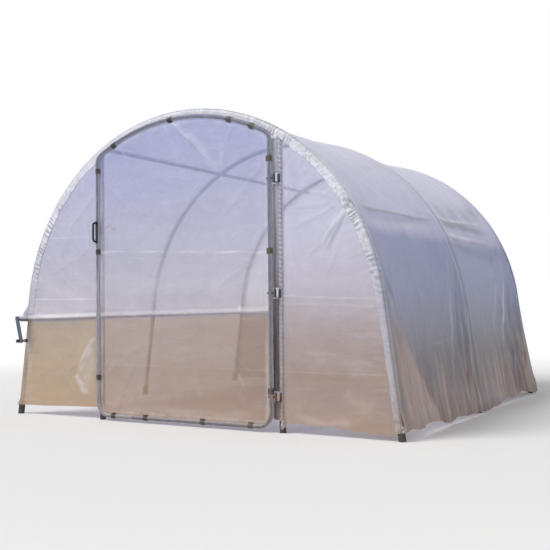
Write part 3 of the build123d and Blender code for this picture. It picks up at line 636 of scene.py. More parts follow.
def marginBand(name, film, end, seed):
    # a strip that starts on top of the cover, bends round the end hoop and lies on the end panel, gathered in pleats
    shape = bandShape
    qBand = np.linspace(leftEdge + 0.045, arcHalf + (springHeight - shape["footEnd"]) / math.cos(legSlant),
                        shape["columns"])
    v, q = grid(np.linspace(0, 1, shape["rows"]), qBand)

    def noise(number, sizeQ, sizeV):
        return softNoise(q, v, seed + number, sizeQ, sizeV)

    overCup = fall(archAt(q)[1], shape["cupTop"], 0.035)
    radius = shape["radius"] + (shape["footRadius"] - shape["radius"]) * overCup
    onTop = v < shape["topPart"]
    bend = np.clip((v - shape["topPart"]) / (shape["bendPart"] - shape["topPart"]), 0, 1) * math.pi / 2
    down = np.clip((v - shape["bendPart"]) / (1 - shape["bendPart"]), 0, 1)
    edge = shape["width"] + 0.007 * softNoise(qBand, qBand, seed, 0.11, 1) \
        + 0.004 * softNoise(qBand, qBand, seed + 1, 0.03, 1) - shape["narrowing"] * rise(qBand, 2.1, 0.4)
    outward = np.where(onTop, radius, radius * np.cos(bend)) - down * edge
    forwardBy = np.where(onTop, -shape["wrap"] * (1 - np.clip(v / shape["topPart"], 0, 1)), radius * np.sin(bend))
    # crinkles come in patches: deep near the hinge post and half way down the right side, smooth below
    ruffle = 0.42 + sum(amount * bell(q - at, reach) for at, amount, reach in shape["ruffles"])
    ruffle = np.maximum(ruffle - 0.25 * rise(q, 2.3, 0.3), 0.05) * (0.25 + 0.9 * smooth(0.55 + 0.9 * noise(5, 0.17, 2)))
    pitch = q / shape["pitch"] + 1.3 * lineNoise(q, seed + 2, 0.1) + 0.55 * noise(9, 0.16, 1.2) + 0.35 * (v - 0.5)
    crumple = noise(8, 0.017, 0.22) * (0.35 + 0.65 * rise(q, 0.5, 0.3)) * (0.35 + 0.65 * fall(q, 2.2, 0.4))
    pleat = 1 - np.abs(np.sin(math.pi * pitch)) ** 0.8
    pleat = pleat * (0.4 + 0.6 * smooth(0.5 + softNoise(pitch, v, seed + 6, 0.9, 1)))
    small = 1 - np.abs(np.sin(math.pi * (q / shape["smallPitch"] + 1.3 * noise(3, 0.05, 0.5))))
    lift = ruffle * (shape["pleat"] * pleat + shape["smallPleat"] * small) * rise(v, 0.12, 0.35)
    lift = lift + shape["crumple"] * np.maximum(crumple, -0.4) * rise(v, 0.35, 0.2)
    if end < 0:      # pressed flat by the closed door
        lift = lift * (1 - 0.55 * smooth((1.05 - np.abs(q)) / 0.15) * rise(v, 0.5, 0.3))
    outward += ruffle * 0.003 * pleat * np.cos(bend) * smooth(v / 0.2)
    flat = shape["flatBack"] + (shape["footRadius"] - shape["flatBack"]) * overCup
    forwardBy = forwardBy + lift * np.sin(bend) + down * (flat - radius)
    rightWall = rise(q, 1.6, 0.3)
    # painted highlights on pleat tops, crumples and the rounded bend off the right wall; painted shade in pleat
    # valleys, crumple dents, along the far edge and on the top over the right wall
    crease = 0.6 * ruffle * rise(pleat, 0.5, 0.4) * (1 - 0.7 * bell(q + 0.85, 0.12)) \
        + 0.35 * bell(v - 0.2, 0.05) * (1 - rightWall) + 0.22 * rise(crumple, 0.15, 0.3)
    hollow = 1.1 * ruffle * fall(pleat, 0.2, 0.15) * smooth(0.5 + 1.2 * noise(7, 0.05, 0.4)) \
        + 0.3 * bell(v - 0.99, 0.03) + 0.5 * fall(crumple, -0.22, 0.25) * rise(v, 0.25, 0.2) \
        + 0.8 * rightWall * fall(v, 0.24, 0.1)
    return gridPiece(name, archPoint(q, end * (halfLength + forwardBy), outward), "tunnel", film,
                     (q, v * shape["mapped"]), flip=end > 0, crease=crease, hollow=hollow)


frontBand = marginBand("frontMargin", "bandFilm", -1, 21)
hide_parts("front_hem")
rearBand = marginBand("rearMargin", "rearBandFilm", 1, 31)
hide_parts("rear_hem")
print("margins made")


# End panels
panelShape = {"rows": 230, "slack": 0.0045, "fineSlack": 0.0013, "topGap": 0.004, "lineWidth": 0.0042,
              "ripple": 0.0028, "ripplePitch": 0.062, "rippleReach": 0.1,
              "margin": 0.052, "underMargin": 0.0008, "overCup": 0.0085}


def fromRim(x, z):
    # the way in from the hoop's centreline
    inArc = np.maximum(hoopRadius - np.hypot(x, z - arcCentre), 0)
    return np.where(z < springHeight, archReach(z, 0) - np.abs(x), inArc)


def edgeRipple(x, z, seed):
    # ripples square to the arch, strongest under the margin
    inside = fromRim(x, z)
    along = np.where(z < springHeight, arcHalf + springHeight - z, np.abs(np.arctan2(x, z - arcCentre) * hoopRadius))
    wave = np.sin(2 * math.pi * (along / panelShape["ripplePitch"] + 0.5 * softNoise(along, inside, seed, 0.14, 0.6)))
    return panelShape["ripple"] * wave * np.exp(-inside / panelShape["rippleReach"]) * smooth(inside / 0.05)


def foldLines(x, z, creases, seed):
    # thin straight lines left where the film was folded in its roll: height at the middle, slope, strength
    return sum(strength * bell(z - at - slope * x, panelShape["lineWidth"])
               * (0.85 + 0.25 * softNoise(x, z, seed, 0.07, 0.3)) for at, slope, strength in creases)


def slackPush(x, z, folds, seed, sizeX, sizeZ):
    # folds with a wide and a fine unevenness between them
    return foldField(x, z, folds) + panelShape["slack"] * softNoise(x, z, seed, sizeX, sizeZ) \
        + panelShape["fineSlack"] * softNoise(x, z, seed + 1, 0.1, 0.05)


def markings(x, z, push, shape, *seeds):
    # pale lines, painted highlights on ridges and pale smears, then painted shade in hollows and dark smears
    ridge, hollow = bends(push, np.gradient(z, axis=0), np.gradient(x, axis=1))
    pale = foldLines(x, z, shape["creases"], seeds[0]) + 0.16 * ridge + smearField(x, z, shape["smears"], seeds[1])
    return pale, 0.25 * hollow + smearField(x, z, shape["shades"], seeds[2])


def endPanel(name, film, xLeft, xRight, z, shape):
    # rows at heights z from xLeft to xRight; the film is pushed along Y by folds, ripples and soft noise
    u = np.linspace(0, 1, shape["columns"])[None, :]
    zGrid = z[:, None] + np.interp(u, *np.transpose(shape["hem"])) * np.clip(1 - (z[:, None] - z[0]) / 0.3, 0, 1)
    xGrid = xLeft[:, None] * (1 - u) + xRight[:, None] * u
    seed = shape["seed"]
    edge = smooth(np.minimum(u, 1 - u) * (xRight - xLeft)[:, None] / 0.05)
    push = edge * slackPush(xGrid, zGrid, shape["folds"], seed, 0.33, 0.42) + edgeRipple(xGrid, zGrid, seed + 2)
    pastMargin = np.maximum(fromRim(xGrid, zGrid) - panelShape["margin"], 0)
    push = np.minimum(push, panelShape["underMargin"] + 0.12 * pastMargin)      # it lies under the margin
    for cup in shape.get("cups", ()):
        push += panelShape["overCup"] * bell(xGrid - cup, 0.04) * fall(zGrid, bandShape["cupTop"], 0.03)
    crease, hollow = markings(xGrid, zGrid, push, shape, seed + 4, 10 * seed, 10 * seed + 5)
    points = np.stack([xGrid, middle(shape["node"])[1] + shape["end"] * push, zGrid], -1)
    panel = gridPiece(name, points, "tunnel", film, (xGrid, zGrid), flip=shape["end"] < 0,
                      crease=crease, hollow=hollow)
    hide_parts(shape["node"])


def panelRows(low, inner):
    # heights up to the arch, where it is as wide as the panel's inner edge is far from the middle
    high = arcCentre + math.sqrt((hoopRadius + tunnel["panelReach"]) ** 2 - inner ** 2) - panelShape["topGap"]
    z = np.linspace(low, high, panelShape["rows"])
    return z, archReach(z, tunnel["panelReach"]), np.full(len(z), inner)


# folds, pale smears (painted highlights along folds, and haze) and dark lines (painted shade beside folds, and parts
# seen through the film) run from x and z to x and z: height or strength, width
rightPanel = {
    "node": "front_right_panel", "end": -1, "seed": 41, "columns": 110,
    "flat": (0.92, 2.19), "area": 1.62, "restsOn": ["right_hoop_legs", "right_hoop_bows", "right_door_post"],
    "hem": [(0, 0.042), (0.12, 0.046), (0.3, 0.036), (0.42, 0.04), (0.55, 0.026), (0.68, 0.018), (0.8, 0.004),
        (1, 0.006)],      # rise by share of the width
    "folds": [(1.41, 1.68, 1.19, 1.34, 0.02, 0.02), (1.4, 1.6, 1.27, 1.38, -0.01, 0.018),
        (1.42, 1.68, 0.9, 1.48, 0.007, 0.016), (1.42, 1.68, 0.9, 1.64, 0.007, 0.015),
        (1.41, 1.69, 0.92, 1.8, 0.006, 0.015), (1.42, 1.62, 1.02, 1.22, 0.008, 0.016),
        (1.43, 1.61, 1.2, 1.05, 0.006, 0.018), (0.9, 2.1, 1.02, 1.5, 0.005, 0.026),
        (0.91, 0.3, 0.98, 1.1, 0.004, 0.03), (0.93, 0.06, 1.25, 0.6, 0.005, 0.05), (1.7, 0.1, 1.3, 0.62, 0.005, 0.05),
        (0.96, 1.95, 0.99, 0.7, 0.003, 0.022), (0.93, 0.04, 1.72, 0.15, 0.006, 0.03)],
    "creases": [(1.04, -0.04, 0.75), (0.986, -0.037, 0.48), (1.655, -0.03, 0.15), (0.45, 0.0, 0.15)],
    "smears": [(1.405, 1.65, 1.19, 1.345, 1.3, 0.011), (1.41, 1.64, 1.235, 1.36, 0.9, 0.009),
        (1.4, 1.64, 1.18, 1.34, 0.22, 0.03), (1.42, 1.62, 1.36, 1.2, 0.25, 0.05), (1.38, 1.66, 0.95, 1.5, 0.22, 0.03),
        (1.36, 1.72, 0.92, 1.75, 0.16, 0.035), (1.24, 1.34, 1.02, 1.2, 0.2, 0.04), (0.92, 2.02, 0.94, 1.2, 0.25, 0.02),
        (1.35, 0.3, 1.6, 0.2, 0.18, 0.05), (0.95, 0.12, 1.45, 0.09, 0.25, 0.03)],
    "shades": [(1.42, 1.61, 1.245, 1.33, 0.95, 0.01), (1.36, 1.6, 1.15, 1.36, 0.35, 0.009),
        (1.06, 1.86, 1.26, 1.74, 0.1, 0.01)],
}
zRows, outer, inner = panelRows(0.03, postOffset + 0.0225)
endPanel("frontRightFilm", "panelFilm", inner, outer, zRows, rightPanel)

leftPanel = {
    "node": "front_left_panel", "end": -1, "seed": 51, "columns": 110,
    "flat": (0.95, 2.19), "area": 1.68, "restsOn": ["left_hoop_legs", "left_hoop_bows", "left_door_post"],
    "cups": [-float(archReach(np.array(0.05), 0.0))],
    "hem": [(0, 0), (0.3, 0.003), (0.6, 0.013), (1, 0.022)],
    "folds": [(-0.92, 0.69, -1.145, 0.36, 0.014, 0.022), (-1.145, 0.36, -1.0, 0.24, 0.014, 0.018),
        (-1.0, 0.5, -1.3, 0.38, 0.006, 0.02), (-1.26, 0.38, -1.05, 0.11, 0.007, 0.02),
        (-1.66, 0.95, -1.2, 0.6, 0.005, 0.02), (-0.9, 1.9, -1.3, 1.5, 0.006, 0.02),
        (-0.9, 1.45, -1.45, 1.2, 0.006, 0.022), (-1.55, 1.42, -1.05, 1.02, 0.006, 0.022),
        (-0.92, 0.1, -1.25, 0.85, 0.004, 0.024), (-1.74, 0.12, -1.52, 0.8, 0.006, 0.02),
        (-1.05, 2.05, -0.98, 1.3, 0.005, 0.018), (-1.6, 0.84, -0.95, 0.86, 0.006, 0.026)],
    "creases": [(0.998, 0.0, 0.85), (1.5, -0.02, 0.4), (1.31, 0.02, 0.12), (0.42, 0.0, 0.06)],
    "smears": [(-0.9, 0.7, -1.12, 0.37, 0.9, 0.026), (-1.13, 0.38, -1.02, 0.2, 0.6, 0.034),
        (-0.9, 0.6, -1.08, 0.2, 0.45, 0.07), (-1.672, 0.8, -1.768, 0.07, 0.4, 0.014),
        (-1.645, 0.8, -1.662, 0.45, 0.35, 0.011), (-1.64, 0.86, -0.93, 0.87, 0.35, 0.022),
        (-1.5, 1.1, -1.0, 0.98, 0.16, 0.05), (-1.45, 1.45, -1.0, 1.12, 0.14, 0.045),
        (-1.7, 0.7, -1.66, 0.1, 0.25, 0.022)],
    "shades": [(-1.17, 0.385, -1.03, 0.245, 0.16, 0.012), (-1.672, 0.8, -1.768, 0.07, 0.95, 0.016),
        (-1.645, 0.8, -1.662, 0.45, 0.3, 0.012)],
}
zRows, outer, inner = panelRows(0.08, -(postOffset - 0.0005))
endPanel("frontLeftFilm", "sidePanelFilm", -outer - 0.02 * fall(zRows, 0.14, 0.06), inner, zRows, leftPanel)

rearPanel = {
    "node": "rear_panel", "end": 1, "seed": 61, "columns": 190,
    "flat": (3.58, 2.44), "area": 7.55, "restsOn": ["left_hoop_bows", "right_hoop_bows"],
    "hem": [(0, 0), (0.15, 0.014), (0.35, 0.004), (0.55, 0.018), (0.8, 0.006), (1, 0)],
    "folds": [(-1.6, 1.1, -0.9, 0.3, 0.01, 0.024), (1.6, 1.1, 0.95, 0.35, 0.01, 0.024),
        (0.0, 2.4, 0.1, 1.4, 0.006, 0.022), (-0.9, 2.15, -0.55, 1.4, 0.007, 0.022),
        (0.9, 2.15, 0.6, 1.3, 0.007, 0.022), (-1.7, 0.1, -1.2, 0.7, 0.008, 0.024),
        (1.7, 0.1, 1.25, 0.75, 0.008, 0.024), (-0.2, 0.08, -0.35, 0.9, 0.006, 0.022),
        (0.45, 0.08, 0.38, 0.95, 0.006, 0.022)],
    "creases": [(0.9, 0.01, 0.6), (1.45, -0.01, 0.45), (2.0, 0.0, 0.3)],
    "smears": [(-1.55, 1.05, -0.95, 0.35, 0.35, 0.035), (1.55, 1.05, 1.0, 0.4, 0.35, 0.035),
        (-0.4, 1.95, 0.5, 1.8, 0.15, 0.06), (-1.0, 0.62, 0.9, 0.55, 0.14, 0.05)],
    "shades": [(-1.5, 0.95, -1.0, 0.33, 0.15, 0.012), (1.5, 0.95, 1.05, 0.38, 0.15, 0.012)],
}
# even rows up the wall, then rows that close up towards the crown
rim = hoopRadius + tunnel["panelReach"]
turn = np.linspace(math.acos((springHeight - arcCentre) / rim), 0.035, 110)
zRows = np.concatenate([np.linspace(0.03, springHeight, 90, endpoint=False), arcCentre + rim * np.cos(turn)])
outer = archReach(zRows, tunnel["panelReach"])
endPanel("rearFilm", "panelFilm", -outer, outer, zRows, rearPanel)
print("end panels made")


# Door: its film, and the film's margin drawn round the frame
doorShape = {"cornerFoot": 0.11, "cornerTop": 0.075, "left": doorLow.x + doorTube, "right": doorHigh.x - doorTube,
             "foot": doorLow.z + doorTube, "evenTo": 2.16, "columns": 150}
doorPanel = {
    "folds": [(-0.13, 2.42, 0.37, 1.96, 0.014, 0.02), (-0.2, 2.4, 0.05, 2.02, 0.006, 0.014),
        (0.46, 2.33, 0.36, 1.98, 0.006, 0.016), (-0.64, 2.25, -0.3, 1.7, 0.006, 0.018),
        (0.76, 2.02, 0.3, 1.55, 0.006, 0.018), (-0.84, 2.02, -0.4, 1.6, 0.005, 0.018),
        (-0.84, 1.39, -0.3, 1.2, 0.004, 0.018), (0.77, 1.34, 0.25, 1.05, 0.004, 0.018),
        (-0.84, 0.35, -0.3, 0.7, 0.005, 0.02), (0.77, 0.31, 0.25, 0.75, 0.005, 0.02),
        (-0.7, 0.06, -0.45, 0.6, 0.004, 0.02), (0.18, 0.06, 0.1, 0.6, 0.004, 0.02),
        (0.6, 0.06, 0.42, 0.55, 0.004, 0.02), (0.715, 2.05, 0.72, 0.35, 0.003, 0.012)],
    "creases": [(1.358, -0.036, 1.0), (1.2, 0.0, 0.1), (0.46, 0.0, 0.12)],
    "smears": [(0.02, 2.3, 0.37, 1.97, 0.5, 0.042), (-0.12, 2.42, 0.1, 2.22, 0.3, 0.03),
        (-0.19, 2.38, -0.02, 2.03, 0.22, 0.02), (0.36, 2.2, 0.38, 1.98, 0.25, 0.02),
        (-0.6, 2.05, 0.3, 1.93, 0.12, 0.04), (-0.74, 1.72, 0.55, 1.8, 0.1, 0.04), (-0.75, 1.1, 0.7, 1.08, 0.16, 0.06),
        (0.5, 0.43, 0.55, 0.33, 0.3, 0.012), (-0.52, 0.98, -0.3, 0.62, 0.1, 0.05), (0.05, 0.4, 0.2, 0.24, 0.12, 0.03),
        (-0.7, 0.12, 0.65, 0.11, 0.28, 0.03)],
    "shades": [(-0.05, 2.33, 0.3, 1.99, 0.12, 0.01), (-0.712, 1.63, -0.709, 1.55, 0.6, 0.01),
        (-0.709, 1.55, -0.668, 1.59, 1.1, 0.01)],
}
turn = np.linspace(math.acos((doorShape["evenTo"] - arcCentre) / doorArc), 0.02, 70)
cornerFoot = doorShape["cornerFoot"]
cornerEnd = doorShape["foot"] + cornerFoot
zRows = np.concatenate([np.linspace(doorShape["foot"] + 0.001, cornerEnd, 14, endpoint=False),
                        np.linspace(cornerEnd, doorShape["evenTo"], 150, endpoint=False),
                        arcCentre + doorArc * np.cos(turn)])
cornerIn = cornerFoot - np.sqrt(np.maximum(cornerFoot ** 2 - np.maximum(cornerEnd - zRows, 0) ** 2, 0))
arcWidth = np.sqrt(np.maximum(doorArc ** 2 - (zRows - arcCentre) ** 2, 0))
doorLeftEdge = np.maximum(doorShape["left"] + cornerIn, -arcWidth)
doorRightEdge = np.minimum(doorShape["right"] - cornerIn, arcWidth)
u = np.linspace(0, 1, doorShape["columns"])[None, :]
z = zRows[:, None] + 0 * u
x = doorLeftEdge[:, None] * (1 - u) + doorRightEdge[:, None] * u
# the least way in from the frame's tube
inside = np.minimum(np.minimum(u, 1 - u) * (doorRightEdge - doorLeftEdge)[:, None],
                    np.minimum(z - doorShape["foot"], doorArc - np.hypot(x, z - arcCentre)))
push = rise(inside, 0.014, 0.05) * slackPush(x, z, doorPanel["folds"], 71, 0.34, 0.4)
crease, hollow = markings(x, z, push, doorPanel, 74, 700, 740)
crease += 0.45 * bell(inside - 0.035, 0.014) * (0.6 + 0.6 * softNoise(x, z, 75, 0.05, 0.12))
hollow += 0.6 * bell(x - doorShape["left"] - 0.033, 0.013) * (0.8 + 0.3 * lineNoise(z, 78, 0.2))
doorSheet = gridPiece("doorFilmSheet", np.stack([x, doorPlane - push, z], -1), "door", "doorFilmFinish", (x, z),
                      flip=True, crease=crease, hollow=hollow)
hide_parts("door_film")


def stepLengths(path):
    # how far each point is from the one before
    return np.hypot(*(path - np.roll(path, 1, 0))[:, :2].T)


def framePath(step):
    # the frame's centreline, once round: straight runs and arcs, with the outward direction at each point
    left, right, foot, low, high = (doorShape[key] for key in ("left", "right", "foot", "cornerFoot", "cornerTop"))
    leftTurn, rightTurn = (math.sqrt((doorArc - high) ** 2 - way ** 2) for way in (left + high, right - high))
    leftEnd = math.atan2(leftTurn, left + high)
    rightEnd = math.atan2(rightTurn, right - high)
    arcs = [(right - low, foot + low, low, -math.pi / 2, 0.0),
            (right - high, arcCentre + rightTurn, high, 0.0, rightEnd), (0.0, arcCentre, doorArc, rightEnd, leftEnd),
            (left + high, arcCentre + leftTurn, high, leftEnd, math.pi),
            (left + low, foot + low, low, math.pi, 1.5 * math.pi)]
    runs = []
    for number, (cx, cz, radius, start, stop) in enumerate(arcs):
        angle = np.linspace(start, stop, max(int(radius * abs(stop - start) / step), 8))
        cos, sin = np.cos(angle), np.sin(angle)
        runs.append(np.stack([cx + radius * cos, cz + radius * sin, cos, sin], -1))
        cx, cz, radius, start = arcs[(number + 1) % len(arcs)][:4]
        outward = np.array([math.cos(start), math.sin(start)])
        here, there = runs[-1][-1, :2], np.array([cx, cz]) + radius * outward
        share = np.linspace(0, 1, max(int(math.hypot(*(there - here)) / step), 1) + 1)[1:-1, None]
        runs.append(np.hstack([here * (1 - share) + there * share, np.repeat(outward[None], len(share), 0)]))
    path = np.concatenate(runs)
    return path[stepLengths(path) > 0.2 * step]


sleeveShape = {"under": 0.01635, "loose": 0.0019, "step": 0.007, "around": 24, "mapped": 0.016}
path = framePath(sleeveShape["step"])
way = np.cumsum(stepLengths(path))[:, None]
around = fullTurn(sleeveShape["around"])[None, :]
clips = nodePoints("door_clips")[:, [0, 2]]
nearClip = np.array([np.min(np.hypot(clips[:, 0] - x, clips[:, 1] - z)) for x, z in path[:, :2]])[:, None]
x, z, outX, outZ = np.hsplit(path, 4)
outward = np.cos(around)
radius = sleeveShape["under"] + rise(nearClip, 0.025, 0.03) * sleeveShape["loose"] \
    * np.clip(0.5 + softNoise(way, outward, 76, 0.035, 0.5), 0, 1)
# on the free stile, below the handle, the margin is loose and hazy
# a painted highlight runs along both edges of the margin
crease = 0.35 * smooth(softNoise(way, outward, 77, 0.05, 0.4) * 1.6 - 0.4) + 1.6 * bell(outward + 0.95, 0.25) \
    + 1.3 * bell(outward - 0.95, 0.22) + 0.45 * (x < -0.5) * fall(z, 1.35, 0.15)
gridPiece("doorFilmMargin", np.stack([x + outX * outward * radius, doorPlane + np.sin(around) * radius,
                                      z + outZ * outward * radius], -1),
          "door", "sleeveFilm", (way, around * sleeveShape["mapped"]), closedU=True, closedV=True,
          crease=crease, hollow=0.0)
print("door film made")


# Rolled side: a cone in front where the film is tied, then a roll, turned in to the bar at the rear
rollShape = {"radius": 0.0268, "coneRadius": 0.0178, "rings": 340, "around": 56, "coneFront": -1.851, "coneBack": -1.8,
             "bar": 0.0166}
coneFront, coneBack = rollShape["coneFront"], rollShape["coneBack"]
yRoll = np.concatenate([np.linspace(coneFront, coneBack, 18, endpoint=False),
                        np.linspace(coneBack, rollHigh.y, rollShape["rings"]), [rollHigh.y]])
y, a = grid(yRoll, fullTurn(rollShape["around"]))
freeEdge = (a - 0.9 - 0.5 * lineNoise(y, 81, 0.5)) / (2 * math.pi) % 1
coneShare = rise(y, coneFront, coneBack - coneFront)
radius = rollShape["coneRadius"] + (rollShape["radius"] - rollShape["coneRadius"]) * coneShare \
    + 0.0016 * (freeEdge - 0.5) * coneShare
radius += (0.0012 * softNoise(y, np.cos(a), 82, 0.09, 0.6)
           + 0.0009 * np.sin(3 * a + y * 22) * (0.5 + 0.5 * lineNoise(y, 83, 0.3))) * coneShare
radius += 0.0016 * np.sin(7 * a + 9 * y) * (1 - coneShare) * coneShare * 4
radius[-1] = rollShape["bar"]
# the roll gets a painted highlight along its top and painted shade along its underside; a pale line marks the film's
# free edge
up = np.sin(a + 0.25)      # paler on top, darker below
crease = 0.35 * (freeEdge > 0.93) + 1.3 * rise(up, 0.05, 0.35) * (0.8 + 0.3 * softNoise(y, a, 84, 0.15, 0.5))
rollPiece = gridPiece("rolledFilm", np.stack([rollX + radius * np.cos(a), y, rollZ + radius * np.sin(a)], -1), "tunnel",
                      "rollFilmFinish", (y, a * rollShape["radius"]), closedV=True, flip=True, crease=crease,
                      hollow=1.3 * rise(-up, 0.02, 0.25))
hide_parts("film_roll")
print("roll made")


# Film wound round the hinge post, bare beside each hinge
wrapShape = {"pitch": 0.034, "under": 0.0197, "over": 0.0203, "lap": 0.0024, "step": 0.006, "around": 48,
             "mapped": 0.02}
wrapRuns = np.unique(nodePoints("post_wrap")[:, 2].round(3)).reshape(-1, 2)
for part, (low, high) in enumerate(wrapRuns):
    rows = max(int((high - low) / wrapShape["step"]), 12)
    z, a = grid(np.linspace(low, high, rows), fullTurn(wrapShape["around"]))
    turns = (z / wrapShape["pitch"] + a / (2 * math.pi) + 0.25 * softNoise(z, np.cos(a), 91, 0.12, 0.8)) % 1
    radius = wrapShape["over"] + wrapShape["lap"] * turns ** 1.5 + 0.0005 * softNoise(z, np.sin(a), 92, 0.02, 0.3)
    ends = smooth(np.minimum(z - low, high - z) / 0.01)
    radius = wrapShape["under"] + (radius - wrapShape["under"]) * ends
    clear = 0.3 + 0.7 * rise(z, 0.9, 0.5)       # the turns show less towards the foot
    points = np.stack([postOffset + radius * np.cos(a), postStation + radius * np.sin(a), z], -1)
    # the pale outer part of each lap is a painted highlight, the dark step under it painted shade
    gridPiece(f"postWrap{part + 1}", points, "tunnel", "wrapFilm", (a * wrapShape["mapped"], z),
                               closedV=True, flip=True,
                               crease=clear * 0.7 * rise(turns, 0.62, 0.25) * fall(turns, 1.0, 0.04),
                               hollow=clear * 0.6 * fall(turns, 0.3, 0.22))
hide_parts("post_wrap")

# a gathered edge of the same film stands out from the post into the gap beside the door
gatherShape = {"from": 0.014, "reach": 0.07, "back": 0.01, "pleat": 0.0022, "gap": 0.004, "across": 16,
               "mapped": 0.03}
for part, (low, high) in enumerate(wrapRuns):
    rows = max(int((high - low) / wrapShape["step"]), 12)
    low, high = low + gatherShape["gap"], high - gatherShape["gap"]
    z, share = grid(np.linspace(low, high, rows), np.linspace(0, 1, gatherShape["across"]))
    ends = smooth(np.minimum(z - low, high - z) / 0.04)
    width = gatherShape["reach"] * (0.94 + 0.06 * lineNoise(z, 95, 0.09)) * (0.8 + 0.2 * ends)
    fold = np.sin(share * 9 + 2.0 * softNoise(z, share, 96, 0.25, 0.7))
    points = np.stack([postOffset - gatherShape["from"] - share * width,
                       postStation - gatherShape["back"] + gatherShape["pleat"] * fold, z], -1)
    # fold crests and the free edge above a metre get painted highlights, fold valleys painted shade
    gridPiece(f"postGather{part + 1}", points, "tunnel", "gatherFilm", (share * gatherShape["mapped"], z),
              hollow=0.6 * rise(-fold, 0.2, 0.6),
              crease=(0.5 * rise(fold, 0.4, 0.5) + 0.6 * bell(share - 1, 0.12)) * rise(z, 1.0, 0.6))
print("post wrap made")


# Knots and tufts of gathered film
tufts = {
    # middle, half width, half height, how far it stands out, folds, lean, seed
    "bandKnot": ((1.412, -1.7765, 1.684), 0.024, 0.034, 0.014, 2.2, 0.6, 101),
    "bandTuft": ((1.44, -1.7765, 1.632), 0.017, 0.03, 0.011, 1.8, 0.5, 103),
    "bandFootTuft": ((1.805, -1.777, 0.082), 0.026, 0.03, 0.014, 2.4, -0.2, 104),
    "postFootTuft": ((0.872, -1.776, 0.06), 0.026, 0.044, 0.016, 2.0, -0.2, 105),
}
outer, around = grid(np.linspace(0.03, 1, 40), fullTurn(120))
roundX, roundZ = np.cos(around), np.sin(around)
across, along = outer * roundX, outer * roundZ
for name, ((atX, atY, atZ), halfX, halfZ, proud, folds, lean, seed) in tufts.items():
    # crumpled film: creased noise over an oval with a torn rim, which sinks to nothing at the rim
    rim = 0.8 + 0.2 * softNoise(roundX * 2, roundZ * 2, seed, 0.5, 0.5) \
        + 0.14 * softNoise(roundX * 5, roundZ * 5, seed + 1, 0.5, 0.5)
    bent = across * folds + 0.5 * softNoise(across, along, seed + 2, 0.8, 0.8)
    fold = softNoise(bent, along * folds * 0.45, seed + 3, 0.8, 0.8)
    fine = softNoise(bent, along * folds * 0.6, seed + 4, 0.35, 0.35)
    out = proud * smooth((1 - outer) * 2.2) * (0.6 + 0.3 * fold + 0.18 * fine)
    x, z = halfX * across * rim, halfZ * along * rim
    points = np.stack([atX + x * math.cos(lean) - z * math.sin(lean), atY - out,
                       atZ + x * math.sin(lean) + z * math.cos(lean)], -1)
    # raised folds get painted highlights, sunken folds painted shade
    gridPiece(name, points, "tunnel", "bandFilm", (x, z), closedV=True, flip=True,
              crease=0.8 * smooth((fold + fine) / 0.8), hollow=0.9 * smooth((-0.2 - fold - 0.5 * fine) / 0.5))
print("tufts made")


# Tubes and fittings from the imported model
metalLooks = {
    "hoop_steel": {"colour": (0.36, 0.37, 0.45), "metal": 0.45, "rough": 0.48, "rust": 0.06},
    "leftPost": {"colour": (0.15, 0.15, 0.22), "metal": 0.4, "rough": 0.5, "rust": 0.06},
    "clamp_steel": {"colour": (0.36, 0.36, 0.41), "metal": 0.5, "rough": 0.5, "rust": 0.15},
    "door_steel": {"colour": (0.115, 0.12, 0.165), "metal": 0.4, "rough": 0.46, "rust": 0.05},
    "rusty_iron": {"colour": (0.075, 0.072, 0.08), "metal": 0.35, "rough": 0.62, "rust": 0.1, "damp": 0.55},
    "crankShaft": {"colour": (0.5, 0.36, 0.34), "metal": 0.25, "rough": 0.5, "rust": 0.22},
    "crankArm": {"colour": (0.085, 0.125, 0.165), "metal": 0.4, "rough": 0.42, "rust": 0.05},
    "crankGrip": {"colour": (0.42, 0.42, 0.44), "metal": 0.6, "rough": 0.36, "rust": 0.03},
}
rustColour, capColour = (0.17, 0.085, 0.045), (0.025, 0.025, 0.03)
wornColour, soilColour = (0.36, 0.32, 0.28), (0.3, 0.23, 0.17)


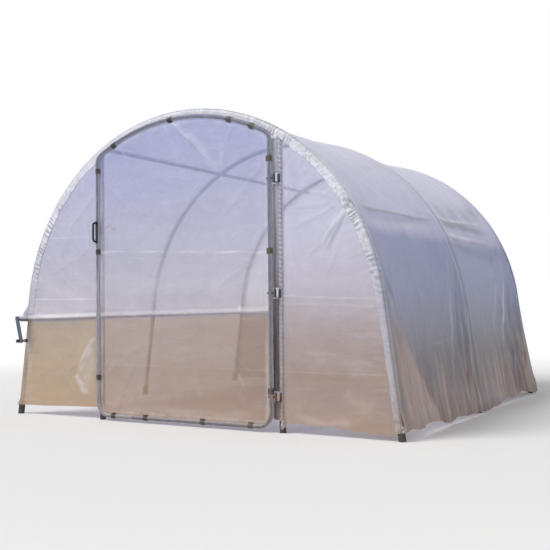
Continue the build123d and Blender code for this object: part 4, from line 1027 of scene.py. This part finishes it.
def metalMaterial(name, look, ends=None):
    material, place = newMaterial(name)
    along, height = apart(place, "YZ")
    cloud = place.grain(6, 6, 0.6)
    fine = place.grain(90, 5, 0.65)
    spangle = node(place.tree, "TexVoronoi", {"Vector": place, "Scale": 160.0}, "Color")
    spangle = node(place.tree, "SeparateColor", {0: spangle})
    # rust gathers in patches, and more of it low down
    damp = height.spread(0.15, 0.75, look.get("damp", 0.16), 0.0)
    stain = (fine * 0.35 + cloud + damp).spread(0.98 - look["rust"], 1.08 - look["rust"] * 0.6)
    tone = (spangle * 0.3).between(look["colour"], tinted(look["colour"], 0.62))
    tone = (cloud * 0.35).between(tone, tinted(look["colour"], 1.35))
    metal = (1 - stain) * look["metal"]
    if ends:        # dark caps at both ends of a grip or shaft
        first, last = along.spread(ends[0] + 0.001, ends[0] - 0.001), along.spread(ends[1] - 0.001, ends[1] + 0.001)
        cap = first.calc("MAXIMUM", last)
        tone = cap.between(tone, capColour)
        metal = metal * (1 - cap)
    tone = stain.between(tone, rustColour)
    rough = (stain * 0.3 + fine * 0.2 + (look["rough"] - 0.08)).clamped()
    relief = (stain * 0.6 + fine * 0.5).bump(0.25, 0.0015)
    shownBy(skinOf(tone, rough, relief, Metallic=metal))
    return material


def plasticMaterial(name, colour, rough, wearAndShading, dust=0.0, leftColour=None):
    material, place = newMaterial(name)
    across, height = apart(place, "XZ")
    cloud = place.grain(14, 5, 0.6)
    fine = place.grain(220, 4, 0.6)
    worn = (fine * 0.4 + cloud).spread(0.72, 0.95)
    tone = (cloud * 0.4).between(colour, tinted(colour, 0.6))
    if leftColour:        # fittings on the left half that are darker than the others
        tone = across.spread(0.4, 0.0, 0.0, 0.8).between(tone, leftColour)
    tone = (worn * wearAndShading).between(tone, wornColour)
    splash = (height + (cloud - 0.5) * 0.06).spread(0.1, 0.0, 0.0, dust)
    tone = splash.between(tone, soilColour)
    gloss = (worn * 0.25 + fine * 0.15 + rough).clamped()
    shownBy(skinOf(tone, gloss, fine.bump(0.2, 0.001)))
    return material


gripLow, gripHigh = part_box("crank_grip")
gripCap, shaftCap = 0.024, 0.01
capEnds = {"crankGrip": (gripLow.y + gripCap, gripHigh.y - gripCap),
           "crankShaft": (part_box("crank_shaft")[0].y + shaftCap, rollLow.y - gripCap)}
finishes = {name: metalMaterial(name + "Finish", look, capEnds.get(name)) for name, look in metalLooks.items()}
finishes["brown_clips"] = plasticMaterial("brownClipFinish", (0.095, 0.075, 0.05), 0.45, 0.25,
                                          leftColour=(0.02, 0.019, 0.02))
finishes["black_plastic"] = plasticMaterial("blackHandleFinish", (0.009, 0.009, 0.011), 0.5, 0.03)
finishes["dark_rubber"] = plasticMaterial("darkFootFinish", (0.03, 0.031, 0.033), 0.65, 0.3, 0.12)
ownFinishes = {"left_door_post": "leftPost", "crank_shaft": "crankShaft", "crank_arm": "crankArm",
               "crank_grip": "crankGrip"}
slots = {row["node"]: row["material_slot"] for row in frame["record"]["subparts"]}
for name, made in frame["nodes"].items():
    finish = ownFinishes.get(name, slots[name])
    if finish in finishes:
        made.data.materials.clear()
        made.data.materials.append(finishes[finish])
print("fittings finished")
